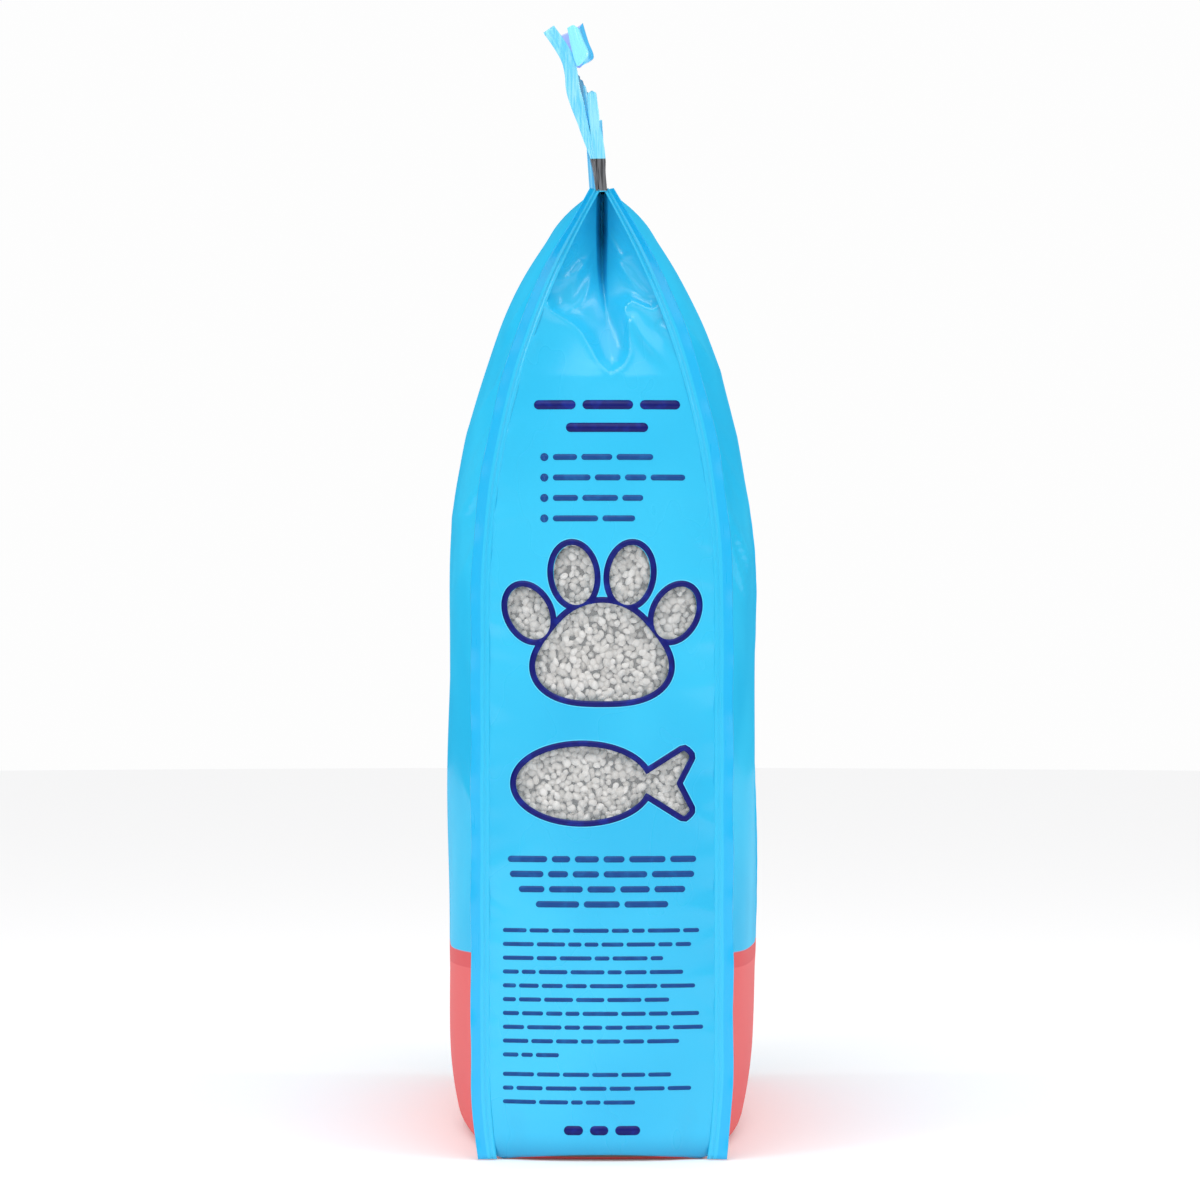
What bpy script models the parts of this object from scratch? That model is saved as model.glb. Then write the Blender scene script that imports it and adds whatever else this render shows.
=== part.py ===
"""A 20 litre bag of cat litter: a quad-seal film bag with side gussets, standing on its base.

Metres, +Z up. The origin is the middle of the base, on the surface the bag stands on. The two broad
panels face -X and +X, and the two side gussets face -Y and +Y. The -Y gusset has the window.
Three pieces: the film bag, the clear film welded behind its window, and the litter inside.
"""

import math

import bmesh
import bpy
from mathutils import Matrix, Vector

# Driving dimensions
PANEL_WIDTH = 0.345  # a broad panel, between its two corner fins
GUSSET_WIDTH = 0.117  # a side gusset, between its two corner fins
CLOSE_HEIGHT = 0.486  # where the panels meet under the top seal
HEADER_TOP = 0.5675  # the cut top edge of the film
PANEL_BULGE = 0.0245  # how far a broad panel stands out at its middle
GUSSET_BULGE = 0.007  # how far a gusset stands out at its middle

# Film, thicker than the real 0.15 mm so that it makes sound solids
WALL = 0.0012
GAP = 0.0003  # between touching pieces
FACET_ROOM = 0.0001  # more room where curved facets differ
WINDOW_FILM_THICKNESS = 0.0005

# Corner fins: each is two layers of film sealed together along a corner
FIN_REACH = 0.0072
FIN_ROOT_OVERLAP = 0.0024
FIN_THICKNESS = 0.0010
FIN_TURN = math.radians(12)  # out of the broad direction, towards the gusset's outside
FIN_FOOT = 0.0006
FIN_HEAD = 0.002  # how far the fins run up past the top seal

# Back seam: the film's two edges, lapped down the middle of the +X panel
SEAM_WIDTH = 0.014
SEAM_RISE = 0.0008
SEAM_FOOT = 0.014

# Taper of the shoulders, and the gusset tuck that lets the top close flat
SHOULDER_HEIGHT = 0.270  # where the corners start to lean inwards
SHOULDER_POWER = 2.2
GUSSET_FLATTENS = (0.342, 0.422)  # where a gusset loses its bulge
PANEL_FLATTENS = 0.456  # where the broad panels start to lose their bulge
TUCK_START = 0.392
TUCK_FULL = 0.458
TUCK_END = 0.481
TUCK_DEPTH = 0.034
CAVITY_TOP = 0.428  # above this the plies lie together

# Base
BASE_RADIUS = 0.011
BASE_FIRST_LEVEL = 0.003  # the cavity and the litter follow the levels above this
BASE_ROOT_INSET = 0.0035  # the corners lean in a little over the lowest 50 mm
BASE_ROOT_HEIGHT = 0.050
BASE_BULGE_INSET = 0.0055
BASE_BULGE_HEIGHT = 0.100

# Header: the loose plies above the top seal, leaning towards -X
HEADER_THICKNESS = (0.0056, 0.0090)  # at the seal, at the top
HEADER_LEAN = (0.018, 0.005)  # at the -Y end, at the +Y end

# Litter
FILL_TOP = 0.402
FILL_SHOULDER = 0.380
FILL_DOME = (0.0, 0.45, 0.8)  # shares of the rise from the shoulder to the top

# Window: a paw print and a fish, cut out of the -Y gusset
WINDOW_CENTRE_HEIGHT = 0.2385
WINDOW_FILM_SIZE = (0.106, 0.158)
WINDOW_FILM_ROWS = 4
CUTTER_START = 0.021  # outside the gusset's corners
CUTTER_DEPTH = 0.035
PAW_RISE = 0.0135  # main pad's centre above the window's centre
PAW_PAD = (0.0325, 0.0245)  # half width, half height
PAW_PAD_LOBES = 0.085
PAW_TOES = (  # sideways, above the pad's centre, half width, half height, outward lean in degrees
    (0.0140, 0.0405, 0.0102, 0.0150, 8),
    (0.0365, 0.0215, 0.0097, 0.0140, 28),
)
FISH_DROP = 0.0500  # fish's centre below the window's centre
FISH_BODY = (0.0330, 0.0185)
FISH_BODY_SHIFT = -0.0100
FISH_TAIL = (0.0440, 0.0165)  # reach from the fish's centre, half height
FISH_TAIL_ROOT = 0.0045
FISH_TAIL_NOTCH = 0.0070
FISH_TAIL_BLUNT = 0.0030

# Facets
GUSSET_STEPS = 10
PANEL_STEPS = 10
PAD_STEPS = 28
TOE_STEPS = 18
FISH_STEPS = 11
LEVELS = (
    0.0, 0.0016, 0.0050, 0.0110, 0.030, 0.060, 0.105, 0.158, 0.212, 0.270, 0.305, 0.335,
    0.362, 0.384, 0.402, 0.416, 0.428, 0.442, 0.455, 0.466, 0.475, 0.481,
)
HEADER_LEVELS = (0.486, 0.500, 0.520, 0.544, HEADER_TOP)

BLUE = (0.05, 0.60, 0.94)
CLEAR = (0.85, 0.93, 0.97)
LITTER = (0.64, 0.61, 0.58)


def clear_scene():
    for obj in list(bpy.data.objects):
        bpy.data.objects.remove(obj)


def material(name, colour, roughness, alpha=1.0):
    made = bpy.data.materials.new(name)
    made.use_nodes = True
    shader = made.node_tree.nodes["Principled BSDF"]
    shader.inputs["Base Color"].default_value = (*colour, 1)
    shader.inputs["Roughness"].default_value = roughness
    shader.inputs["Metallic"].default_value = 0
    shader.inputs["Alpha"].default_value = alpha
    return made


def object_from(name, bm, finish=None):
    bmesh.ops.recalc_face_normals(bm, faces=bm.faces)
    mesh = bpy.data.meshes.new(name)
    bm.to_mesh(mesh)
    bm.free()
    obj = bpy.data.objects.new(name, mesh)
    bpy.context.scene.collection.objects.link(obj)
    if finish:
        mesh.materials.append(finish)
        mesh.shade_smooth()
        mesh.set_sharp_from_angle(angle=math.radians(30))
    return obj


def helper(obj):
    """Marks a cutter or an added shape that a Boolean uses, so that it isn't a piece."""
    obj.hide_render = True
    obj.display_type = "WIRE"
    return obj


def combine(obj, other, operation):
    modifier = obj.modifiers.new(other.name, "BOOLEAN")
    modifier.operation = operation
    modifier.object = helper(other)
    modifier.solver = "EXACT"


def loft(rings):
    """A closed bmesh through rings that all have the same number of points."""
    bm = bmesh.new()
    levels = [[bm.verts.new(point) for point in ring] for ring in rings]
    count = len(levels[0])
    for low, high in zip(levels, levels[1:]):
        for i in range(count):
            j = (i + 1) % count
            bm.faces.new((low[i], low[j], high[j], high[i]))
    bm.faces.new(levels[0])
    bm.faces.new(levels[-1])
    return bm


def smooth_step(value, low, high):
    t = min(1.0, max(0.0, (value - low) / (high - low)))
    return t * t * (3 - 2 * t)


def base_share(z, height):
    """1 on the floor, easing to 0 at the given height."""
    return max(0.0, 1 - z / height) ** 2


def corner_x(z):
    """Distance of a corner fin's root from the middle plane, at height z."""
    half = GUSSET_WIDTH / 2 - BASE_ROOT_INSET * base_share(z, BASE_ROOT_HEIGHT)
    t = max(0.0, z - SHOULDER_HEIGHT) / (CLOSE_HEIGHT - SHOULDER_HEIGHT)
    closed = HEADER_THICKNESS[0] / 2
    return closed + (half - closed) * (1 - min(1.0, t) ** SHOULDER_POWER)


def base_round(z):
    """How far the base's rounded edge draws the walls in at height z."""
    if z >= BASE_RADIUS:
        return 0.0
    drop = BASE_RADIUS - z
    return 0.5 * (BASE_RADIUS - math.sqrt(BASE_RADIUS**2 - drop**2))


def panel_bulge(z):
    swell = PANEL_BULGE - BASE_BULGE_INSET * base_share(z, BASE_BULGE_HEIGHT)
    return swell * (1 - smooth_step(z, PANEL_FLATTENS, CLOSE_HEIGHT))


def tuck(z):
    opened = smooth_step(z, TUCK_START, TUCK_FULL)
    return TUCK_DEPTH * opened * (1 - smooth_step(z, TUCK_FULL, TUCK_END))


def gusset_out(u, z):
    """How far a gusset stands out past its corners, at u from -1 to 1 across it."""
    swell = GUSSET_BULGE * (1 - smooth_step(z, *GUSSET_FLATTENS))
    return swell * (1 - u * u) - tuck(z) * (1 - abs(u))


def outline(half_x, half_y, z, gusset_reach, panel_reach):
    """Points round the bag at height z, counter-clockwise seen from above, the -Y gusset first."""
    points = []
    for side in (-1, 1):
        for i in range(GUSSET_STEPS):
            u = -1 + 2 * i / GUSSET_STEPS
            points.append((-side * u * half_x, side * (half_y + gusset_reach(u)), z))
        for i in range(PANEL_STEPS):
            v = -1 + 2 * i / PANEL_STEPS
            points.append((-side * (half_x + panel_reach * (1 - v * v)), -side * v * half_y, z))
    return points


def section(z, inset=0.0):
    """The bag's outline at height z, drawn in by inset."""
    drawn = inset + base_round(z)
    half_x = corner_x(z) - drawn
    half_y = PANEL_WIDTH / 2 - drawn
    return outline(half_x, half_y, z, lambda u: gusset_out(u, z), panel_bulge(z))


def header_section(z):
    """The flat header at height z, leaning more at its -Y end than at its +Y end."""
    rise = (z - CLOSE_HEIGHT) / (HEADER_TOP - CLOSE_HEIGHT)
    low, high = HEADER_THICKNESS
    half_y = PANEL_WIDTH / 2
    near, far = HEADER_LEAN
    ring = outline((low + (high - low) * rise) / 2, half_y, z, lambda u: 0, 0)
    leaned = []
    for x, y, _ in ring:
        lean = near + (far - near) * smooth_step(y, -half_y, half_y)
        leaned.append((x - lean * rise, y, z))
    return leaned


def corner_fin(side_x, side_y):
    """One corner's sealed strip, from the floor to the top seal."""
    rings = []
    along = Vector((side_x * math.cos(FIN_TURN), side_y * math.sin(FIN_TURN), 0))
    across = Vector((-along.y, along.x, 0)) * FIN_THICKNESS / 2
    for z in (FIN_FOOT, *LEVELS[1:], CLOSE_HEIGHT + FIN_HEAD):
        root = Vector((side_x * corner_x(z), side_y * PANEL_WIDTH / 2, z))
        ends = (root - along * FIN_ROOT_OVERLAP, root + along * FIN_REACH)
        rings.append([ends[0] - across, ends[1] - across, ends[1] + across, ends[0] + across])
    return object_from(f"fin_{side_x}_{side_y}", loft(rings))


def back_seam():
    """The lapped edge of the film, as a low strip down the +X panel."""
    rings = []
    for z in (SEAM_FOOT, *(level for level in LEVELS if level > SEAM_FOOT)):
        out = corner_x(z) + panel_bulge(z)
        low, high = out - WALL / 2, out + SEAM_RISE
        half = SEAM_WIDTH / 2
        rings.append([(low, -half, z), (high, -half, z), (high, half, z), (low, half, z)])
    return object_from("back_seam_strip", loft(rings))


def paw_pad():
    points = []
    for i in range(PAD_STEPS):
        a = 2 * math.pi * i / PAD_STEPS
        r = 1 - PAW_PAD_LOBES * math.sin(3 * a)
        points.append((PAW_PAD[0] * r * math.cos(a), PAW_PAD[1] * r * math.sin(a) + PAW_RISE))
    return points


def paw_toe(x, rise, half_width, half_height, lean):
    turn = Matrix.Rotation(math.radians(-lean if x > 0 else lean), 2)
    points = []
    for i in range(TOE_STEPS):
        a = 2 * math.pi * i / TOE_STEPS
        at = turn @ Vector((half_width * math.cos(a), half_height * math.sin(a)))
        points.append((x + at.x, PAW_RISE + rise + at.y))
    return points


def fish():
    """The fish's outline: its back from the tail root to the nose, the belly back, then the tail."""
    root_angle = math.asin(FISH_TAIL_ROOT / FISH_BODY[1])
    body = []
    for i in range(2 * FISH_STEPS + 1):
        a = root_angle + (2 * math.pi - 2 * root_angle) * i / (2 * FISH_STEPS)
        body.append((FISH_BODY_SHIFT + FISH_BODY[0] * math.cos(a), FISH_BODY[1] * math.sin(a)))
    reach, half = FISH_TAIL
    blunt = FISH_TAIL_BLUNT
    tail = [
        (reach - blunt, -half), (reach, -half + blunt), (reach - FISH_TAIL_NOTCH, 0),
        (reach, half - blunt), (reach - blunt, half),
    ]
    return [(x, y - FISH_DROP) for x, y in (*body, *tail)]


def window_shapes():
    toes = [paw_toe(side * x, *rest) for side in (-1, 1) for x, *rest in PAW_TOES]
    return [paw_pad(), *toes, fish()]


def window_cutter():
    """One prism through the -Y gusset's wall for each opening of the window."""
    bm = bmesh.new()
    front = -PANEL_WIDTH / 2 - CUTTER_START
    for shape in window_shapes():
        ring = [bm.verts.new((x, front, WINDOW_CENTRE_HEIGHT + y)) for x, y in shape]
        face = bm.faces.new(ring)
        side = bmesh.ops.extrude_face_region(bm, geom=[face])
        moved = [v for v in side["geom"] if isinstance(v, bmesh.types.BMVert)]
        bmesh.ops.translate(bm, verts=moved, vec=(0, CUTTER_DEPTH, 0))
    return object_from("window_cutter", bm)


def film_bag():
    rings = [section(z) for z in LEVELS] + [header_section(z) for z in HEADER_LEVELS]
    bag = object_from("film_bag", loft(rings), material("blue_film", BLUE, 0.3))
    for side_x in (-1, 1):
        for side_y in (-1, 1):
            combine(bag, corner_fin(side_x, side_y), "UNION")
    combine(bag, back_seam(), "UNION")
    levels = [WALL, *(z for z in LEVELS if BASE_FIRST_LEVEL < z <= CAVITY_TOP)]
    cavity = object_from("cavity", loft([section(z, WALL) for z in levels]))
    combine(bag, cavity, "DIFFERENCE")
    combine(bag, window_cutter(), "DIFFERENCE")
    return bag


def window_film():
    """The clear film, a curved sheet against the inside of the -Y gusset."""
    front_inset = WALL + GAP
    back_inset = front_inset + WINDOW_FILM_THICKNESS
    half_x = WINDOW_FILM_SIZE[0] / 2
    low = WINDOW_CENTRE_HEIGHT - WINDOW_FILM_SIZE[1] / 2
    rings = []
    columns = GUSSET_STEPS
    for j in range(WINDOW_FILM_ROWS + 1):
        z = low + WINDOW_FILM_SIZE[1] * j / WINDOW_FILM_ROWS
        ring = []
        for inset, order in ((front_inset, 1), (back_inset, -1)):
            for i in range(columns + 1)[::order]:
                x = -half_x + 2 * half_x * i / columns
                u = x / (corner_x(z) - front_inset)
                ring.append((x, -(PANEL_WIDTH / 2 - inset + gusset_out(u, z)), z))
        rings.append(ring)
    return object_from("window_film", loft(rings), material("clear_film", CLEAR, 0.08, 0.3))


def litter_fill():
    """The litter, as one solid that fills the bag to its shoulders."""
    inset = WALL + GAP + WINDOW_FILM_THICKNESS + GAP + FACET_ROOM
    foot = WALL + GAP + FACET_ROOM
    levels = (foot, *(z for z in LEVELS if BASE_FIRST_LEVEL < z < FILL_SHOULDER))
    rings = [section(z, inset) for z in levels]
    shoulder = section(FILL_SHOULDER, inset)
    for share in FILL_DOME:
        spread = math.sqrt(1 - share**2)
        z = FILL_SHOULDER + (FILL_TOP - FILL_SHOULDER) * share
        rings.append([(x * spread, y * spread, z) for x, y, _ in shoulder])
    return object_from("litter_fill", loft(rings), material("litter", LITTER, 0.9))


def main():
    clear_scene()
    film_bag()
    window_film()
    litter_fill()


main()
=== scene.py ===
"""Looks of a 20 litre bag of cat litter: blue gloss film, sealed corner fins and a see-through window.

Metres, +Z up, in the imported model's frame. The two gussets face -Y and +Y, the two broad panels
face -X and +X. The -Y gusset carries the window and the print. Everything stands on the floor at z = 0.
"""

import logging
import math
from dataclasses import dataclass, field
from enum import Enum
from typing import Callable, Iterable, Sequence, Union

import bmesh
import bpy
import numpy as np
from mathutils import Matrix, Vector
from mathutils.geometry import delaunay_2d_cdt


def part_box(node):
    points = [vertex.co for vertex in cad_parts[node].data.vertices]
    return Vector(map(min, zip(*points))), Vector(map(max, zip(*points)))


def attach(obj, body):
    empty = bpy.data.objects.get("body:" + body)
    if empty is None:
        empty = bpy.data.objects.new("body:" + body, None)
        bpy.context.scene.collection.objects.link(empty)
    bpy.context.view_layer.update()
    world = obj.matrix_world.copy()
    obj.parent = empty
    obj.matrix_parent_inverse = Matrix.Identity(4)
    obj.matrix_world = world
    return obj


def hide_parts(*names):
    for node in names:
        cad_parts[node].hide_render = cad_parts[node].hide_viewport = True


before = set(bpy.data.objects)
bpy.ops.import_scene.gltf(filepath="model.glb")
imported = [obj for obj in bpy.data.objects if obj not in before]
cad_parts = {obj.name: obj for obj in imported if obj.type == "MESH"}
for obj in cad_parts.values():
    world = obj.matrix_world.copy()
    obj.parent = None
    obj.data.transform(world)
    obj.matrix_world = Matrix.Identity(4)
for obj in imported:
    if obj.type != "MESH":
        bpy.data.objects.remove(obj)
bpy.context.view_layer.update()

LOG = logging.getLogger("litter_bag")
MM = 0.001
BODY = "root"

Array = np.ndarray
Colour = tuple[float, float, float]
Point2 = tuple[float, float]


class Side(Enum):
    """Which way a panel or a gusset faces along its own axis."""

    MINUS = -1
    PLUS = 1

    @property
    def word(self) -> str:
        """The side's word in piece names."""
        return "minus" if self is Side.MINUS else "plus"


# ---------------------------------------------------------------- shader maths


class Value:
    """A shader socket that takes part in Python arithmetic, each step adding a Math node."""

    def __init__(self, graph: "ShaderGraph", socket: bpy.types.NodeSocket) -> None:
        """Wraps one output socket of a graph."""
        self.graph = graph
        self.socket = socket

    def maths(self, operation: str, *others: "Number") -> "Value":
        """Adds a Math node.

        Args:
            operation: The Math node's operation.
            others: The node's further operands.

        Returns:
            The node's result.
        """
        return self.graph.node("ShaderNodeMath", {"operation": operation}, dict(enumerate((self, *others))))

    def __add__(self, other: "Number") -> "Value":
        """self + other."""
        return self.maths("ADD", other)

    __radd__ = __add__

    def __mul__(self, other: "Number") -> "Value":
        """self * other."""
        return self.maths("MULTIPLY", other)

    __rmul__ = __mul__

    def __sub__(self, other: "Number") -> "Value":
        """self - other."""
        return self.maths("SUBTRACT", other)

    def __rsub__(self, other: "Number") -> "Value":
        """other - self."""
        return self * -1 + other

    def __truediv__(self, other: "Number") -> "Value":
        """self / other."""
        return self.maths("DIVIDE", other)

    def __pow__(self, other: "Number") -> "Value":
        """self ** other."""
        return self.maths("POWER", other)

    def __abs__(self) -> "Value":
        """abs(self)."""
        return self.maths("ABSOLUTE")

    def ramp(self, low: float, high: float) -> "Value":
        """0 below low and 1 above high, easing in between.

        Args:
            low: Where the ramp starts.
            high: Where the ramp ends; below low for a falling ramp.

        Returns:
            The eased share.
        """
        flip = high < low
        ends = (high, low) if flip else (low, high)
        share = self.graph.node(
            "ShaderNodeMapRange",
            {"interpolation_type": "SMOOTHSTEP"},
            {"Value": self, "From Min": ends[0], "From Max": ends[1]},
        )
        return 1 - share if flip else share


Number = Union[Value, float, int]


class ShaderGraph:
    """A material's node tree, with one Principled shader."""

    def __init__(self, name: str) -> None:
        """Makes an empty material of that name with its Principled shader."""
        self.material = bpy.data.materials.new(name)
        self.material.use_nodes = True
        self.tree = self.material.node_tree
        self.shader = self.tree.nodes["Principled BSDF"]

    def node(self, kind: str, settings: dict, inputs: dict, output: Union[int, str] = 0) -> Value:
        """Adds a node.

        Args:
            kind: The node's type.
            settings: The node's own properties, which are set first.
            inputs: Values or links by socket name or number.
            output: The socket that is wanted.

        Returns:
            The wanted output, ready for arithmetic.
        """
        made = self.tree.nodes.new(kind)
        for key, value in settings.items():
            setattr(made, key, value)
        for key, value in inputs.items():
            self.feed(made.inputs[key], value)
        return Value(self, made.outputs[output])

    def feed(self, socket: bpy.types.NodeSocket, value: object) -> None:
        """Links a Value to a socket, or sets the socket's own number or colour."""
        if isinstance(value, Value):
            self.tree.links.new(value.socket, socket)
        elif isinstance(value, tuple) and len(value) == 3 and socket.type == "RGBA":
            socket.default_value = (*value, 1)
        else:
            socket.default_value = value

    def principled(self, **inputs: object) -> bpy.types.Material:
        """Sets or links the Principled shader's sockets, whose names have _ for a space.

        Returns:
            The finished material.
        """
        for key, value in inputs.items():
            self.feed(self.shader.inputs[key.replace("_", " ")], value)
        return self.material

    def position(self) -> Value:
        """Object coordinates, which are the frame's own metres."""
        return self.node("ShaderNodeTexCoord", {}, {}, "Object")

    def axis(self, name: str) -> Value:
        """One of the object coordinates, X, Y or Z."""
        return self.node("ShaderNodeSeparateXYZ", {}, {0: self.position()}, name)

    def stretched(self, scale: Sequence[float]) -> Value:
        """Object coordinates multiplied along each axis."""
        return self.node("ShaderNodeVectorMath", {"operation": "MULTIPLY"}, {0: self.position(), 1: tuple(scale)})

    def noise(self, scale: float, detail: float = 3.0, at: Union[Value, None] = None) -> Value:
        """Noise of about 0 to 1 on object coordinates, with a feature size of 1 / scale metres."""
        return self.node(
            "ShaderNodeTexNoise", {}, {"Vector": at or self.position(), "Scale": scale, "Detail": detail}, "Fac"
        )

    def attribute(self, name: str) -> Value:
        """A number that the mesh carries at its points."""
        return self.node("ShaderNodeAttribute", {"attribute_name": name}, {}, "Fac")

    def mix(self, share: Number, low: object, high: object) -> Value:
        """Colour low at share 0, colour high at share 1."""
        sockets = {0: share, 6: low, 7: high}
        return self.node("ShaderNodeMix", {"data_type": "RGBA"}, sockets, 2)

    def bump(self, height: Value, depth: float, normal: Union[Value, None] = None) -> Value:
        """A bumped normal, from a height of 0 to 1 that stands for depth in metres."""
        inputs = {"Height": height, "Distance": depth, "Strength": 1.0}
        if normal:
            inputs["Normal"] = normal
        return self.node("ShaderNodeBump", {}, inputs, "Normal")


# ------------------------------------------------------------------- finishes


@dataclass(frozen=True)
class GlossFilm:
    """Printed polyethylene film: a clear gloss over ink, with faint wrinkles, and painted shade that darkens it towards
    the floor.
    """

    name: str
    colour: Colour = (0.030, 0.555, 0.880)
    # Second tone: for random mottling, and also the painted shade mixed in towards the floor.
    shade: Colour = (0.014, 0.480, 0.810)
    # Painted shade for the film's lowest 15 mm, by the floor.
    low_edge: Colour = (0.004, 0.260, 0.520)
    foot: Union[Colour, None] = None
    stripe: Colour = (0.700, 0.080, 0.090)
    foot_height: float = 89 * MM
    stripe_height: float = 8 * MM
    roughness: float = 0.28
    wrinkle_depth: float = 0.22 * MM
    gloss: float = 0.5
    coat: float = 0.30

    def build(self) -> bpy.types.Material:
        """Makes the material."""
        graph = ShaderGraph(self.name)
        height = graph.axis("Z")
        cloudy = graph.noise(9.0, 2.0)
        tone = graph.mix(cloudy.ramp(0.38, 0.68), self.colour, self.shade)
        # Painted shade: darker towards the floor over the lowest 45 mm, darkest over the lowest 15 mm.
        tone = graph.mix(height.ramp(45 * MM, 2 * MM) * 0.55, tone, self.shade)
        tone = graph.mix(height.ramp(15 * MM, 0.0) * 0.6, tone, self.low_edge)
        if self.foot:
            depth = abs(graph.axis("Y")) / (172 * MM)
            level = height - depth * depth * (6 * MM)
            edge = 0.4 * MM
            top = self.foot_height + self.stripe_height
            tone = graph.mix(level.ramp(top + edge, top - edge), tone, self.stripe)
            tone = graph.mix(level.ramp(self.foot_height + edge, self.foot_height - edge), tone, self.foot)
        fine = graph.noise(32.0, 2.0, graph.stretched((1, 1, 0.6)))
        bumped = graph.bump(fine, self.wrinkle_depth)
        peel = graph.noise(420.0, 2.0)
        bumped = graph.bump(peel, 0.012 * MM, bumped)
        return graph.principled(
            Base_Color=tone,
            Roughness=self.roughness + (fine - 0.5) * 0.12,
            Normal=bumped,
            Specular_IOR_Level=self.gloss,
            Coat_Weight=self.coat,
            Coat_Roughness=0.12,
        )


@dataclass(frozen=True)
class FinFilm:
    """Sealed film of the fins and the header: ribs along it, a dark band, and a pale top."""

    name: str
    flat: Colour = (0.004, 0.470, 0.860)
    rib: Colour = (0.022, 0.550, 0.880)
    pale: Colour = (0.300, 0.770, 0.960)
    deep: Colour = (0.120, 0.620, 0.950)
    grey: Colour = (0.150, 0.152, 0.165)
    black: Colour = (0.012, 0.012, 0.014)
    band_low: float = 484.5 * MM
    band_high: float = 500.5 * MM
    flat_share: float = 0.50

    def build(self) -> bpy.types.Material:
        """Makes the material."""
        graph = ShaderGraph(self.name)
        height = graph.axis("Z")
        across = graph.attribute("across")
        streak = graph.noise(38.0, 2.0, graph.stretched((22, 22, 1.2)))
        body = graph.mix(across.ramp(self.flat_share - 0.03, self.flat_share + 0.03), self.rib, self.flat)
        top = graph.mix(streak.ramp(0.35, 0.7), self.pale, self.deep)
        dark = graph.mix(streak.ramp(0.42, 0.62), self.grey, self.black)
        edge = 0.25 * MM
        tone = graph.mix(height.ramp(self.band_low - edge, self.band_low + edge), body, dark)
        tone = graph.mix(height.ramp(self.band_high - edge, self.band_high + edge), tone, top)
        lines = graph.noise(60.0, 2.0, graph.stretched((16, 16, 0.8)))
        return graph.principled(
            Base_Color=tone,
            Roughness=0.24 + streak * 0.12,
            Normal=graph.bump(lines, 0.10 * MM),
            IOR=1.5,
            Coat_Weight=0.4,
            Coat_Roughness=0.12,
        )


@dataclass(frozen=True)
class HeaderFilm:
    """The unprinted header film with the dark tear band at its foot. When given a strength, the film glows in its own
    tone as painted light, standing in for light that passes through the thin film; on the corner flap, painted light
    and shade make the front face paler and the side face deeper, with a lilac tone on the inner faces.
    """

    name: str
    pale: Colour = (0.240, 0.720, 0.960)
    deep: Colour = (0.030, 0.500, 0.930)
    lilac: Union[Colour, None] = None
    grey: Colour = (0.014, 0.014, 0.016)
    glow: float = 0.0
    band_high: float = 500.5 * MM

    def build(self) -> bpy.types.Material:
        """Makes the material."""
        graph = ShaderGraph(self.name)
        height = graph.axis("Z")
        streak = graph.noise(30.0, 2.0, graph.stretched((6, 1.0, 1.6)))
        if self.lilac:
            # Painted light and shade on the flap: the side attribute turns the side face to the deeper shaded tone, the
            # front keeps the paler lit tone; the inside attribute gives the inner faces the lilac tone.
            tone = graph.mix(graph.attribute("side"), self.pale, self.deep)
            tone = graph.mix(graph.attribute("inside"), tone, self.lilac)
        else:
            tone = graph.mix(streak.ramp(0.35, 0.7), self.pale, self.deep)
        edge = 0.25 * MM
        tone = graph.mix(height.ramp(self.band_high + edge, self.band_high - edge), tone, self.grey)
        wrinkle = graph.noise(26.0, 2.0, graph.stretched((1, 0.6, 1)))
        return graph.principled(
            Base_Color=tone,
            Roughness=0.22 + streak * 0.1,
            Normal=graph.bump(wrinkle, 0.15 * MM),
            # Painted light: the film glows in its own tone, standing in for light that passes through the thin film.
            Emission_Color=tone,
            Emission_Strength=self.glow,
            Coat_Weight=0.3,
            Coat_Roughness=0.12,
        )


@dataclass(frozen=True)
class Ink:
    """Printing ink on the film."""

    name: str
    colour: Colour = (0.0010, 0.0035, 0.150)
    worn: Colour = (0.0030, 0.0180, 0.260)
    roughness: float = 0.34

    def build(self) -> bpy.types.Material:
        """Makes the material."""
        graph = ShaderGraph(self.name)
        patch = graph.noise(180.0, 3.0)
        return graph.principled(
            Base_Color=graph.mix(patch.ramp(0.45, 0.75), self.colour, self.worn),
            Roughness=self.roughness + patch * 0.06,
            Normal=graph.bump(graph.noise(300.0, 2.0), 0.015 * MM),
            Specular_IOR_Level=0.25,
        )


@dataclass(frozen=True)
class Clay:
    """Dry crushed clay: matt, off-white, each crumb with a tone of its own."""

    name: str
    light: Colour = (0.800, 0.770, 0.740)
    dull: Colour = (0.560, 0.525, 0.490)
    ingrained: float = 0.25

    def build(self) -> bpy.types.Material:
        """Makes the material."""
        graph = ShaderGraph(self.name)
        tone = graph.mix(graph.attribute("tint"), self.light, self.dull)
        speck = graph.noise(1500.0, 3.0)
        tone = graph.mix(speck.ramp(0.50, 0.80) * self.ingrained, tone, self.dull)
        return graph.principled(
            Base_Color=tone,
            Roughness=0.72 + speck * 0.2,
            Normal=graph.bump(graph.noise(900.0, 4.0), 0.12 * MM),
            Specular_IOR_Level=0.35,
        )


@dataclass(frozen=True)
class ClearFilm:
    """Clear gloss film, which mostly lets the light past."""

    name: str
    colour: Colour = (0.92, 0.97, 1.0)
    cover: float = 0.10

    def build(self) -> bpy.types.Material:
        """Makes the material."""
        graph = ShaderGraph(self.name)
        wrinkle = graph.noise(70.0, 3.0)
        return graph.principled(
            Base_Color=self.colour,
            Roughness=0.06 + wrinkle * 0.08,
            Normal=graph.bump(wrinkle, 0.25 * MM),
            Alpha=self.cover + wrinkle * 0.04,
            IOR=1.5,
        )


# --------------------------------------------------------------- mesh helpers


def to_array(values: object) -> Array:
    """Any numbers as a float array."""
    return np.asarray(values, float)


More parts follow.
